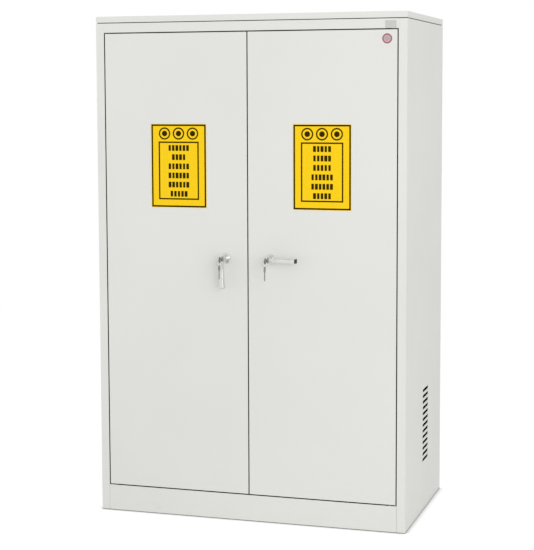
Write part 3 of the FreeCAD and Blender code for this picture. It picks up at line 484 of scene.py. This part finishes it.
def new_tree(name, sizes):
    """A tree with a named input for each size. Returns it with its first and last node."""
    tree = bpy.data.node_groups.new(name, "GeometryNodeTree")
    for direction in ("INPUT", "OUTPUT"):
        tree.interface.new_socket(TREE_END, in_out=direction, socket_type="NodeSocketGeometry")
    for size, value in sizes.items():
        tree.interface.new_socket(size, in_out="INPUT", socket_type=SOCKETS[type(value)])
    return tree, tree.nodes.new("NodeGroupInput").outputs, tree.nodes.new("NodeGroupOutput").inputs


def finish_tree(tree, last, end, material):
    """Ends a tree in real geometry with its material."""
    real = add(tree, "GeometryNodeRealizeInstances", {"Geometry": last}).outputs[0]
    painted = add(tree, "GeometryNodeSetMaterial", {"Geometry": real, "Material": material}).outputs[0]
    join(tree, painted, end[TREE_END])


def run_tree(tree, name, sizes, start=None):
    """Runs a tree with the given sizes and returns its result as a plain object."""
    carrier = bpy.data.objects.new(name + "_carrier", start or bpy.data.meshes.new(name + "_start"))
    bpy.context.scene.collection.objects.link(carrier)
    modifier = carrier.modifiers.new("tree", "NODES")
    modifier.node_group = tree
    keys = {item.name: item.identifier for item in tree.interface.items_tree}
    for size, value in sizes.items():
        modifier[keys[size]] = value
    evaluated = carrier.evaluated_get(bpy.context.evaluated_depsgraph_get())
    mesh = bpy.data.meshes.new_from_object(evaluated)
    bpy.data.objects.remove(carrier)
    mesh.name = name
    return new_piece(name, mesh)


def new_piece(name, mesh):
    """A mesh as an object of the scene, at the origin."""
    piece = bpy.data.objects.new(name, mesh)
    bpy.context.scene.collection.objects.link(piece)
    return piece


def modelled(name, bm, *materials):
    """Ends a bmesh in a plain object with its materials."""
    mesh = bpy.data.meshes.new(name)
    bm.to_mesh(mesh)
    bm.free()
    for material in materials:
        mesh.materials.append(material)
    return new_piece(name, mesh)


def carried(piece, body):
    """Hands a finished piece to its body and prints its points and faces."""
    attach(piece, body)
    print(piece.name, len(piece.data.vertices), "points,", len(piece.data.polygons), "faces")


# %% [markdown]
# ## The placards' print
#
# Each placard has a dark border, a second frame inside it, three round marks above the frame
# and six rows inside it. Nothing is written: the rows are plain blocks and the marks plain
# rings. Ink could be a pattern in the material, but printed film really stands a few
# hundredths of a millimetre proud, and as geometry its edges stay crisp in every view. Rows
# and marks repeat, so two Geometry Nodes trees make them. The frames are simple rings of four
# sides, quickest by hand.

# %% Build the tree that prints rows of blocks
INK_DEPTH = 0.00012
ROW_SIZES = {"Rows": 6, "Longest": 6, "Row pitch": 0.0344, "Block pitch": 0.0142,
             "Block width": 0.0118, "Block height": 0.0215, "Corner": 0.0016, "Depth": INK_DEPTH,
             "Narrowest share": 0.70, "Fewest": 4, "Seed": 3, "Ink": ink}


def block_rows():
    """Rows of blocks, centred, each with a random count of blocks of random width."""
    tree, size, end = new_tree("block_rows", ROW_SIZES)
    number = add(tree, "GeometryNodeInputIndex").outputs[0]
    row = maths(tree, "FLOOR", maths(tree, "DIVIDE", maths(tree, "ADD", number, 0.5), size["Longest"]))
    column = maths(tree, "SUBTRACT", number, maths(tree, "MULTIPLY", row, size["Longest"]))
    count = random_number(tree, size["Fewest"], size["Longest"], row, size["Seed"], whole=True)
    middle = maths(tree, "DIVIDE", maths(tree, "SUBTRACT", count, 1.0), 2.0)
    x = maths(tree, "MULTIPLY", maths(tree, "SUBTRACT", column, middle), size["Block pitch"])
    z = maths(tree, "MULTIPLY", row, maths(tree, "MULTIPLY", size["Row pitch"], -1.0))
    spot = add(tree, "ShaderNodeCombineXYZ", {"X": x, "Z": z}).outputs[0]
    total = maths(tree, "MULTIPLY", size["Rows"], size["Longest"])
    spots = add(tree, "GeometryNodePoints", {"Count": total, "Position": spot}).outputs[0]
    spare = maths(tree, "GREATER_THAN", maths(tree, "ADD", column, 0.5), count)
    kept = add(tree, "GeometryNodeDeleteGeometry", {"Geometry": spots, "Selection": spare}).outputs[0]
    outline = add(tree, "GeometryNodeCurvePrimitiveQuadrilateral",
                  {"Width": size["Block width"], "Height": size["Block height"]}).outputs[0]
    soft = add(tree, "GeometryNodeFilletCurve", {"Curve": outline, "Radius": size["Corner"], "Count": 4},
               mode="POLY").outputs[0]
    face = add(tree, "GeometryNodeFillCurve", {"Curve": soft}, mode="NGONS").outputs[0]
    block = add(tree, "GeometryNodeExtrudeMesh", {"Mesh": face, "Offset Scale": size["Depth"],
                                                  "Individual": False}).outputs["Mesh"]
    upright = add(tree, "GeometryNodeTransform", {"Geometry": block, "Rotation": (math.pi / 2, 0, 0)})
    width = random_number(tree, size["Narrowest share"], 1.0, number, size["Seed"])
    stretch = add(tree, "ShaderNodeCombineXYZ", {"X": width, "Y": 1.0, "Z": 1.0}).outputs[0]
    blocks = add(tree, "GeometryNodeInstanceOnPoints",
                 {"Points": kept, "Instance": upright.outputs[0], "Scale": stretch})
    finish_tree(tree, blocks.outputs[0], end, size["Ink"])
    return tree


rows_tree = block_rows()
print("rows tree:", len(rows_tree.nodes), "nodes")

# %% [markdown]
# The three marks are rings with a solid dot. A ring is two circles filled between, which the
# Fill Curve node does by itself when one circle lies inside the other.

# %% Build the tree that prints the round marks
MARK_SIZES = {"Marks": 3, "Mark pitch": 0.0558, "Outer": 0.0230, "Inner": 0.0176, "Dot": 0.0105,
              "Depth": INK_DEPTH, "Ink": ink}
CIRCLE_POINTS = 48


def round_marks():
    """A row of rings, each with a solid dot in it."""
    tree, size, end = new_tree("round_marks", MARK_SIZES)

    def circle(radius):
        return add(tree, "GeometryNodeCurvePrimitiveCircle",
                   {"Resolution": CIRCLE_POINTS, "Radius": radius}).outputs["Curve"]

    rims = add(tree, "GeometryNodeJoinGeometry")
    for radius in (size["Outer"], size["Inner"], size["Dot"]):
        tree.links.new(circle(radius), rims.inputs[0])
    face = add(tree, "GeometryNodeFillCurve", {"Curve": rims.outputs[0]}, mode="NGONS").outputs[0]
    mark = add(tree, "GeometryNodeExtrudeMesh", {"Mesh": face, "Offset Scale": size["Depth"],
                                                 "Individual": False}).outputs["Mesh"]
    upright = add(tree, "GeometryNodeTransform", {"Geometry": mark, "Rotation": (math.pi / 2, 0, 0)})
    number = add(tree, "GeometryNodeInputIndex").outputs[0]
    middle = maths(tree, "DIVIDE", maths(tree, "SUBTRACT", size["Marks"], 1.0), 2.0)
    x = maths(tree, "MULTIPLY", maths(tree, "SUBTRACT", number, middle), size["Mark pitch"])
    spot = add(tree, "ShaderNodeCombineXYZ", {"X": x}).outputs[0]
    spots = add(tree, "GeometryNodePoints", {"Count": size["Marks"], "Position": spot}).outputs[0]
    marks = add(tree, "GeometryNodeInstanceOnPoints", {"Points": spots, "Instance": upright.outputs[0]})
    finish_tree(tree, marks.outputs[0], end, size["Ink"])
    return tree


marks_tree = round_marks()
print("marks tree:", len(marks_tree.nodes), "nodes")

# %% [markdown]
# The frames are made with bmesh: an outer and an inner rectangle, each in front and behind,
# and four sides between them.

# %% Write the helpers for frames and joining
def frame_mesh(bm, low, high, line, y):
    """A flat rectangular frame in the XZ plane whose outer corners are given, facing -Y."""
    rings = []
    for inset in (0, line):
        corners = [(low[0] + inset, low[1] + inset), (high[0] - inset, low[1] + inset),
                   (high[0] - inset, high[1] - inset), (low[0] + inset, high[1] - inset)]
        rings.append([[bm.verts.new((x, depth, z)) for x, z in corners] for depth in (y - INK_DEPTH, y)])
    (outer_front, outer_back), (inner_front, inner_back) = rings
    for i in range(4):
        j = (i + 1) % 4
        bm.faces.new((outer_front[i], outer_front[j], inner_front[j], inner_front[i]))
        bm.faces.new((outer_back[j], outer_back[i], inner_back[i], inner_back[j]))
        bm.faces.new((outer_front[j], outer_front[i], outer_back[i], outer_back[j]))
        bm.faces.new((inner_front[i], inner_front[j], inner_back[j], inner_back[i]))


def joined(name, pieces):
    """One object from several, with their materials kept."""
    bpy.ops.object.select_all(action="DESELECT")
    for piece in pieces:
        piece.select_set(True)
    bpy.context.view_layer.objects.active = pieces[0]
    bpy.ops.object.join()
    made = bpy.context.view_layer.objects.active
    made.name = name
    made.data.name = name
    return made


def faced_out(mesh):
    """Recalculates a closed mesh's normals so that they point outwards."""
    bm = bmesh.new()
    bm.from_mesh(mesh)
    bmesh.ops.recalc_face_normals(bm, faces=bm.faces)
    bm.to_mesh(mesh)
    bm.free()


# %% [markdown]
# Now the print is laid on both placards. It is joined to one piece for each door, because print
# moves with its door, and it stands a hair off the plate, so that the two share no surface.

# %% Lay the print on both placards
BORDER_INSET, BORDER_LINE = 0.0018, 0.0060
INNER_LINE = 0.0054
INNER_WIDTH, INNER_HEIGHT, INNER_BOTTOM = 0.160, 0.218, 0.030
MARKS_ABOVE_MIDDLE = 0.121
FIRST_ROW_ABOVE_MIDDLE = 0.067
LEAST_LIFT = 0.00002


def placard_print(side):
    """Both frames, the rows and the marks of one placard as one piece."""
    low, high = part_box(f"{side}_placard")
    middle = (low + high) / 2
    y = low.y - LEAST_LIFT
    bm = bmesh.new()
    frame_mesh(bm, (low.x + BORDER_INSET, low.z + BORDER_INSET),
               (high.x - BORDER_INSET, high.z - BORDER_INSET), BORDER_LINE, y)
    bottom = low.z + INNER_BOTTOM
    frame_mesh(bm, (middle.x - INNER_WIDTH / 2, bottom),
               (middle.x + INNER_WIDTH / 2, bottom + INNER_HEIGHT), INNER_LINE, y)
    frames = modelled(f"{side}_frames", bm, ink)
    rows = run_tree(rows_tree, f"{side}_rows", {**ROW_SIZES, "Seed": ROW_SIZES["Seed"] + SIDES[side]})
    rows.data.transform(Matrix.Translation((middle.x, y, middle.z + FIRST_ROW_ABOVE_MIDDLE)))
    marks = run_tree(marks_tree, f"{side}_marks", MARK_SIZES)
    marks.data.transform(Matrix.Translation((middle.x, y, middle.z + MARKS_ABOVE_MIDDLE)))
    made = joined(f"{side}_placard_print", [frames, rows, marks])
    faced_out(made.data)
    return made


for side in SIDES:
    carried(placard_print(side), f"{side}_door")

# %% [markdown]
# ## Name plate and round sticker
#
# A small grey plate sits on the rail above the right door's corner, and a round sticker on the
# door below it. Both are bare. The plate could be a bevelled box, but its corners are round in
# front view only, so a stack of three rounded outlines fits it better.

# %% Make the name plate
PLATE_WIDTH, PLATE_HEIGHT, PLATE_DEPTH, PLATE_CORNER = 0.041, 0.027, 0.0008, 0.0022
PLATE_MIDDLE = (0.5395, 1.8542)
CORNER_STEPS = 6


def rounded_outline(width, height, corner):
    """The corners of a rounded rectangle, anticlockwise from the lower right."""
    points = []
    for turn_index, (sx, sz) in enumerate(((1, -1), (1, 1), (-1, 1), (-1, -1))):
        for step in range(CORNER_STEPS + 1):
            angle = math.radians(-90 + 90 * turn_index + 90 * step / CORNER_STEPS)
            points.append((sx * (width / 2 - corner) + corner * math.cos(angle),
                           sz * (height / 2 - corner) + corner * math.sin(angle)))
    return points


def stacked(bm, sections):
    """Skins a stack of equal outlines, each a list of points, and closes both ends."""
    rings = [[bm.verts.new(point) for point in section] for section in sections]
    for below, above in zip(rings, rings[1:]):
        count = len(below)
        for i in range(count):
            bm.faces.new((below[i], below[(i + 1) % count], above[(i + 1) % count], above[i]))
    bm.faces.new(rings[0])
    bm.faces.new(rings[-1])


def plate_piece():
    """A thin rounded plate with a bevelled rim on the rail."""
    bm = bmesh.new()
    edge = PLATE_DEPTH / 3
    sections = []
    for inset, rise in ((0, 0), (0, PLATE_DEPTH - edge), (edge, PLATE_DEPTH)):
        outline = rounded_outline(PLATE_WIDTH - inset * 2, PLATE_HEIGHT - inset * 2, PLATE_CORNER - inset)
        sections.append([(PLATE_MIDDLE[0] + x, FACE_Y - rise, PLATE_MIDDLE[1] + z) for x, z in outline])
    stacked(bm, sections)
    bmesh.ops.recalc_face_normals(bm, faces=bm.faces)
    return modelled("name_plate", bm, plate_finish)


carried(plate_piece(), "cabinet")

# %% [markdown]
# The sticker is turned: a profile set round an axis gives its edge, its dark rim, its pale band
# and its grey middle in one go.

# %% Make the round sticker
STICKER_MIDDLE = (0.5265, 1.8033)
STICKER_RADIUS, STICKER_DEPTH = 0.0182, 0.00022
BAND_SHARE, CENTRE_SHARE = 0.72, 0.42
RIM, BAND, CENTRE = range(3)


def sticker_piece():
    """A disc of film in three zones on the right door."""
    bm = bmesh.new()
    profile = [(STICKER_RADIUS, 0), (STICKER_RADIUS, STICKER_DEPTH),
               (STICKER_RADIUS * BAND_SHARE, STICKER_DEPTH), (STICKER_RADIUS * CENTRE_SHARE, STICKER_DEPTH)]
    rings = []
    for radius, rise in profile:
        rings.append([bm.verts.new((STICKER_MIDDLE[0] + radius * math.cos(angle), FACE_Y - rise,
                                    STICKER_MIDDLE[1] + radius * math.sin(angle)))
                      for angle in (math.tau * i / CIRCLE_POINTS for i in range(CIRCLE_POINTS))])
    for ring, following, zone in zip(rings, rings[1:], (RIM, RIM, BAND)):
        for i in range(CIRCLE_POINTS):
            j = (i + 1) % CIRCLE_POINTS
            bm.faces.new((ring[i], ring[j], following[j], following[i])).material_index = zone
    bm.faces.new(rings[-1]).material_index = CENTRE
    bm.faces.new(rings[0])
    bmesh.ops.recalc_face_normals(bm, faces=bm.faces)
    return modelled("round_sticker", bm, rose_film, pale_rose_film, grey_film)


carried(sticker_piece(), "right_door")

# %% [markdown]
# ## Edge seals as painted shade
#
# Thin black strips are glued into the gaps round the doors: on the frame's inner faces and on
# the doors' edges. They are painted shade: near black, they make the gaps look dark as shade
# would. In a fire such strips swell and close the gap. Each strip is a long bar with softened
# edges, which bmesh makes from a cube with a bevel. The strips stop short of the pivots, and
# they are thin enough for the doors to turn past them.

# %% Write the helpers for bars
def soft_bar(bm, low, high, bevel):
    """A bar between two corners with softened edges."""
    size = [b - a for a, b in zip(low, high)]
    middle = [(a + b) / 2 for a, b in zip(low, high)]
    shape = Matrix.Translation(middle) @ Matrix.Diagonal((*size, 1))
    corners = bmesh.ops.create_cube(bm, size=1.0, matrix=shape)["verts"]
    edges = {edge for corner in corners for edge in corner.link_edges}
    bmesh.ops.bevel(bm, geom=list(edges), offset=bevel, segments=2, affect="EDGES")


def bars_piece(name, bars, bevel, finish):
    """One piece from a list of bars."""
    bm = bmesh.new()
    for low, high in bars:
        soft_bar(bm, low, high, bevel)
    return modelled(name, bm, finish)


# %% [markdown]
# The frame gets four strips and each door four of its own. Their places come from the boxes of
# the door skins, the rail and the plinth.

# %% Glue the seals into the door gaps
SEAL_THICKNESS, SEAL_BEVEL = 0.0008, 0.0002
SEAL_START, SEAL_END = 0.0006, 0.0160
PIVOT_INSET, PIVOT_ROOM = 0.014, 0.012
PIVOT_END = PIVOT_INSET + PIVOT_ROOM
FRAME_SEAL_INSET = 0.002

seal_y = (FACE_Y + SEAL_START, FACE_Y + SEAL_END)
rail_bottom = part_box("front_top_rail")[0].z
stile_edge = plinth_high.x


def frame_shade_seal_bars():
    """Bars on the frame: one on each stile, one under the rail and one on the plinth."""
    low_z, high_z = plinth_high.z + FRAME_SEAL_INSET, rail_bottom - FRAME_SEAL_INSET
    bars = []
    for way in SIDES.values():
        ends = sorted((way * stile_edge, way * (stile_edge - SEAL_THICKNESS)))
        bars.append(((ends[0], seal_y[0], low_z), (ends[1], seal_y[1], high_z)))
    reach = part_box("right_door_skin")[1].x - PIVOT_END
    for z in (rail_bottom - SEAL_THICKNESS, plinth_high.z):
        bars.append(((-reach, seal_y[0], z), (reach, seal_y[1], z + SEAL_THICKNESS)))
    return bars


def door_shade_seal_bars(side):
    """Bars on the four edges of a door."""
    low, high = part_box(f"{side}_door_skin")
    foot, head = low.z + SEAL_THICKNESS, high.z - SEAL_THICKNESS
    bars = [((x, seal_y[0], foot), (x + SEAL_THICKNESS, seal_y[1], head))
            for x in (low.x - SEAL_THICKNESS, high.x)]
    ends = (low.x, high.x - PIVOT_END) if side == "right" else (low.x + PIVOT_END, high.x)
    for z in (low.z - SEAL_THICKNESS, high.z):
        bars.append(((ends[0], seal_y[0], z), (ends[1], seal_y[1], z + SEAL_THICKNESS)))
    return bars


# The dark strips in the gaps are painted shade: they stand in for the shade deep in the door gaps.
carried(bars_piece("frame_shade_seals", frame_shade_seal_bars(), SEAL_BEVEL, finishes["rubber"]), "cabinet")
for side in SIDES:
    gap_shade_strips = bars_piece(f"{side}_door_shade_seals", door_shade_seal_bars(side), SEAL_BEVEL, finishes["rubber"])
    carried(gap_shade_strips, f"{side}_door")

# %% [markdown]
# ## Filter pads behind the vents, as painted shade
#
# Behind the slots in each side panel lies a pad of black foam that keeps dust out and paints
# the shade behind the slots, so the slots look black. It is a bar with well rounded edges, set
# against the inside of the panel.

# %% Put the pads behind the vents
VENT_SETBACK = 0.372
LOWEST_VENT, HIGHEST_VENT = 0.198, 0.469
PAD_REACH, PAD_MARGIN, PAD_THICKNESS, PAD_EDGE = 0.068, 0.022, 0.008, 0.0018
SHEET = 0.0015
PAD_ROOM = 0.0003

vent_y = FACE_Y + VENT_SETBACK
for side, way in SIDES.items():
    low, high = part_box(f"{side}_side_panel")
    wall = way * (max(high.x, -low.x) - SHEET - PAD_ROOM)
    x = sorted((wall, wall - way * PAD_THICKNESS))
    bar = ((x[0], vent_y - PAD_REACH, LOWEST_VENT - PAD_MARGIN),
           (x[1], vent_y + PAD_REACH, HIGHEST_VENT + PAD_MARGIN))
    # Each black pad is painted shade: it stands in for the dark inside behind the slots.
    carried(bars_piece(f"{side}_vent_shade_pad", [bar], PAD_EDGE, finishes["rubber"]), "cabinet")

# %% [markdown]
# ## Screws and rivets
#
# Small heads hold the sheets: screws with a cross round the duct collars, on the shelf
# uprights and round the lock cases, and rivets along the back panel and the doors' inner
# sheets. They repeat by the dozen, so one Geometry Nodes tree makes a head from a flattened
# ball, cuts off its lower half and its recess, and sets a copy on every point of the mesh it
# runs on. A rivet is the same with a small round dimple instead of the cross.

# %% Build the trees for heads
HEAD_SIZES = {"Radius": 0.0035, "Height": 0.0015, "Facing": (0.0, -1.0, 0.0), "Metal": finishes["zinc"]}
HEAD_SEGMENTS, HEAD_RINGS = 16, 10
LOWER_HALF = (3.0, 3.0, 2.0)
CROSS_LONG, CROSS_WIDE, RECESS_TOP, RECESS_BOTTOM = 1.1, 0.26, 1.2, 0.45
DIMPLE_RADIUS, DIMPLE_LENGTH, DIMPLE_MIDDLE, DIMPLE_SIDES = 0.32, 1.0, 1.05, 12


def lifted(tree, shape, height):
    """A shape of a tree moved up."""
    moved = {"Geometry": shape, "Translation": (0.0, 0.0, height)}
    return add(tree, "GeometryNodeTransform", moved).outputs[0]


def cross_cutters(tree):
    """Two crossed blocks over a head of radius 1 and height 1."""
    depth = RECESS_TOP - RECESS_BOTTOM
    cutters = []
    for size in ((CROSS_LONG, CROSS_WIDE, depth), (CROSS_WIDE, CROSS_LONG, depth)):
        block = add(tree, "GeometryNodeMeshCube", {"Size": size}).outputs["Mesh"]
        cutters.append(lifted(tree, block, (RECESS_TOP + RECESS_BOTTOM) / 2))
    return cutters


def dimple_cutters(tree):
    """A round rod that dips into a head of radius 1 and height 1."""
    sizes = {"Vertices": DIMPLE_SIDES, "Radius": DIMPLE_RADIUS, "Depth": DIMPLE_LENGTH}
    rod = add(tree, "GeometryNodeMeshCylinder", sizes).outputs["Mesh"]
    return [lifted(tree, rod, DIMPLE_MIDDLE)]


def head_tree(name, cutters_of):
    """A tree that sets a domed head on every point of its mesh, facing one way."""
    tree, size, end = new_tree(name, HEAD_SIZES)
    ball = add(tree, "GeometryNodeMeshUVSphere", {"Segments": HEAD_SEGMENTS, "Rings": HEAD_RINGS})
    below = add(tree, "GeometryNodeMeshCube", {"Size": LOWER_HALF}).outputs["Mesh"]
    cut = add(tree, "GeometryNodeMeshBoolean", {0: ball.outputs["Mesh"]},
              operation="DIFFERENCE", solver="EXACT")
    for cutter in [lifted(tree, below, -LOWER_HALF[2] / 2), *cutters_of(tree)]:
        tree.links.new(cutter, cut.inputs[1])
    axes = {"X": size["Radius"], "Y": size["Radius"], "Z": size["Height"]}
    scale = add(tree, "ShaderNodeCombineXYZ", axes).outputs[0]
    head = add(tree, "GeometryNodeTransform", {"Geometry": cut.outputs["Mesh"], "Scale": scale})
    turned = add(tree, "FunctionNodeAlignRotationToVector", {"Vector": size["Facing"]}, axis="Z")
    spots = {"Points": size[TREE_END], "Instance": head.outputs[0], "Rotation": turned.outputs[0]}
    heads = add(tree, "GeometryNodeInstanceOnPoints", spots).outputs[0]
    finish_tree(tree, heads, end, size["Metal"])
    return tree


screw_tree = head_tree("cross_screws", cross_cutters)
rivet_tree = head_tree("dimple_rivets", dimple_cutters)
print("heads:", len(screw_tree.nodes), "and", len(rivet_tree.nodes), "nodes")

# %% [markdown]
# The places come from the boxes of what the heads hold. A little list for each group says
# where its heads sit and which way they face.

# %% Find the places for the heads
COLLAR_OFFSET, COLLAR_RING, COLLAR_SCREWS = 0.300, 0.064, 6
RIVET_PITCH = 0.150
BACK_INSET, BACK_END = 0.0375, 0.060
SHEET_INSET = 0.030
CASE_SCREWS = (0.024, 0.038)
UPRIGHT_LEVELS = (0.130, 0.960, 1.700)
UPRIGHT_DEPTH, UPRIGHT_INSET = 0.012, 0.0125


def spread(low, high, pitch):
    """Evenly spaced places from end to end, about a pitch apart."""
    count = max(1, round((high - low) / pitch))
    return [low + (high - low) * i / count for i in range(count + 1)]


def collar_places():
    """A ring of places round each duct collar."""
    low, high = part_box("exhaust_spigots")
    y = (low.y + high.y) / 2
    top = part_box("top_cover")[1].z
    return [(way * COLLAR_OFFSET + COLLAR_RING * math.cos(angle), y + COLLAR_RING * math.sin(angle), top)
            for way in SIDES.values()
            for angle in (math.tau * (i + 0.5) / COLLAR_SCREWS for i in range(COLLAR_SCREWS))]


def back_places():
    """A column of places up each side of the back."""
    low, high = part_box("back_panel")
    return [(way * (high.x - BACK_INSET), high.y, z)
            for way in SIDES.values() for z in spread(low.z + BACK_END, high.z - BACK_END, RIVET_PITCH)]


def upright_places(way):
    """Three places up each outer shelf upright of one side."""
    low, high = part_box("shelf_uprights")
    return [(way * (high.x - UPRIGHT_DEPTH), y, z)
            for y in (low.y + UPRIGHT_INSET, high.y - UPRIGHT_INSET) for z in UPRIGHT_LEVELS]


def inner_sheet_places(side):
    """Places all round the inner sheet of a door."""
    low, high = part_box(f"{side}_door_inner_panel")
    xs, zs = (low.x + SHEET_INSET, high.x - SHEET_INSET), (low.z + SHEET_INSET, high.z - SHEET_INSET)
    uprights = [(x, high.y, z) for x in xs for z in spread(*zs, RIVET_PITCH)]
    levels = [(x, high.y, z) for z in zs for x in spread(*xs, RIVET_PITCH)[1:-1]]
    return uprights + levels


def case_places(side):
    """Four places round a lock case."""
    low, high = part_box(f"{side}_lock_case")
    x, z = (low.x + high.x) / 2, (low.z + high.z) / 2
    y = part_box(f"{side}_door_inner_panel")[1].y
    across, along = CASE_SCREWS
    return [(x + i * across, y, z + j * along) for i in (-1, 1) for j in (-1, 1)]


print(len(collar_places()), "round the collars,", len(back_places()), "on the back")

# %% [markdown]
# Each group runs its tree once, on its own places, and the groups of a body are joined to one
# piece.

# %% Set the heads
BACK, UP = (0.0, 1.0, 0.0), (0.0, 0.0, 1.0)
RIVET = {"Radius": 0.0028, "Height": 0.0011}
SCREW = {"Radius": 0.0042, "Height": 0.0020}
SMALL_SCREW = {"Radius": 0.0034, "Height": 0.0016}


def heads(tree, name, places, facing, sizes):
    """Runs a tree of heads on a list of places."""
    start = bpy.data.meshes.new(name + "_points")
    start.from_pydata(places, [], [])
    return run_tree(tree, name, {**HEAD_SIZES, **sizes, "Facing": facing}, start)


fixed = [heads(screw_tree, "collar_screws", collar_places(), UP, SCREW),
         heads(rivet_tree, "back_rivets", back_places(), BACK, RIVET)]
for side, way in SIDES.items():
    inwards = (-float(way), 0.0, 0.0)
    fixed.append(heads(screw_tree, f"{side}_upright_screws", upright_places(way), inwards, SMALL_SCREW))
carried(joined("cabinet_fasteners", fixed), "cabinet")
for side in SIDES:
    pieces = [heads(rivet_tree, f"{side}_sheet_rivets", inner_sheet_places(side), BACK, RIVET),
              heads(screw_tree, f"{side}_case_screws", case_places(side), BACK, SMALL_SCREW)]
    carried(joined(f"{side}_door_fasteners", pieces), f"{side}_door")

# %% [markdown]
# ## The room
#
# The picture is a cut-out on white with only a thin soft shadow at the foot. The lamps stay at
# a plain level, so the paint shows the colour it was given. The background is white because
# the world answers the camera's own rays, and those of reflections, with plain white, and the
# light that falls on the cabinet is set apart from that.

# %% Light the room
WORLD_LEVEL = 0.675
WHITE = (1, 1, 1, 1)


def seen_directly(tree):
    """1 for rays from the camera, from reflections and through glass."""
    path = add(tree, "ShaderNodeLightPath").outputs
    mirrored = maths(tree, "MAXIMUM", path["Is Glossy Ray"], path["Is Transmission Ray"])
    return maths(tree, "MAXIMUM", path["Is Camera Ray"], mirrored)


def white_room():
    """A world that lights at a plain level and shows as plain white."""
    world = bpy.data.worlds.new("studio")
    world.use_nodes = True
    tree = world.node_tree
    tree.nodes.clear()
    room = add(tree, "ShaderNodeBackground", {"Color": WHITE, "Strength": WORLD_LEVEL}).outputs[0]
    backdrop = add(tree, "ShaderNodeBackground", {"Color": WHITE, "Strength": 1.0}).outputs[0]
    choice = {0: seen_directly(tree), 1: room, 2: backdrop}
    add(tree, "ShaderNodeOutputWorld", {"Surface": add(tree, "ShaderNodeMixShader", choice).outputs[0]})
    return world


bpy.context.scene.world = white_room()
print("world at", WORLD_LEVEL)

# %% [markdown]
# The floor does the same: the camera sees it mostly glow, so that it joins the white, with a
# share of real light that keeps the shadow. The narrow dark line where the cabinet touches it
# is painted shade: ambient occlusion dims the glow there.

# %% Lay the floor
FLOOR_SIZE = 9.0
FLOOR_GLOW = 0.80
FLOOR_PAINT, FLOOR_SHADE = (0.86, 0.86, 0.855, 1), (0.30, 0.30, 0.30, 1)
CONTACT_REACH = 0.03
CONTACT_STOPS = [(0.50, 0.35), (0.72, 0.85), (0.97, 1.0)]


def floor_white():
    """Matt paint for the light, and a glow with a soft shadow for the camera."""
    material = bpy.data.materials.new("floor_white")
    material.use_nodes = True
    tree = material.node_tree
    tree.nodes.clear()
    matt = add(tree, "ShaderNodeBsdfDiffuse", {"Color": FLOOR_PAINT}).outputs[0]
    shade = add(tree, "ShaderNodeBsdfDiffuse", {"Color": FLOOR_SHADE}).outputs[0]
    openness = add(tree, "ShaderNodeAmbientOcclusion", {"Distance": CONTACT_REACH}, samples=16)
    # Painted shade: ambient occlusion dims the floor's glow in a narrow line where the cabinet touches it.
    contact = steps(tree, openness.outputs["AO"], CONTACT_STOPS)
    level = maths(tree, "MULTIPLY", contact, FLOOR_GLOW)
    glow = add(tree, "ShaderNodeEmission", {"Color": WHITE, "Strength": level}).outputs[0]
    seen = add(tree, "ShaderNodeAddShader", {0: shade, 1: glow}).outputs[0]
    choice = {0: seen_directly(tree), 1: matt, 2: seen}
    add(tree, "ShaderNodeOutputMaterial", {"Surface": add(tree, "ShaderNodeMixShader", choice).outputs[0]})
    return material


reach = FLOOR_SIZE / 2
corners = [(-reach, -reach, 0), (reach, -reach, 0), (reach, reach, 0), (-reach, reach, 0)]
floor_mesh = bpy.data.meshes.new("floor")
floor_mesh.from_pydata(corners, [], [(0, 1, 2, 3)])
floor_mesh.materials.append(floor_white())
new_piece("floor", floor_mesh)
print("floor", FLOOR_SIZE, "m wide")

# %% [markdown]
# Three large soft lamps shape the cabinet a little: one from the right front that makes the
# right door brighter than the left, one fill from the left, and one overhead.

# %% Hang the lamps
LAMPS = {
    "front_right": ((3.6, -5.4, 2.1), (0.3, 0.0, 1.1), 3.8, 124.0),
    "front_left": ((-4.2, -4.4, 1.7), (-0.2, 0.0, 1.0), 3.8, 27.0),
    "overhead": ((0.3, -0.6, 5.2), (0.0, 0.0, 0.0), 3.6, 16.0),
}
for name, (where, target, size, power) in LAMPS.items():
    lamp = bpy.data.lights.new(name, "AREA")
    lamp.size = size
    lamp.energy = power
    holder = bpy.data.objects.new(name, lamp)
    holder.location = where
    aim = Vector(target) - Vector(where)
    holder.rotation_euler = aim.to_track_quat("-Z", "Y").to_euler()
    bpy.context.scene.collection.objects.link(holder)
    print(name, "at", where, power, "W")
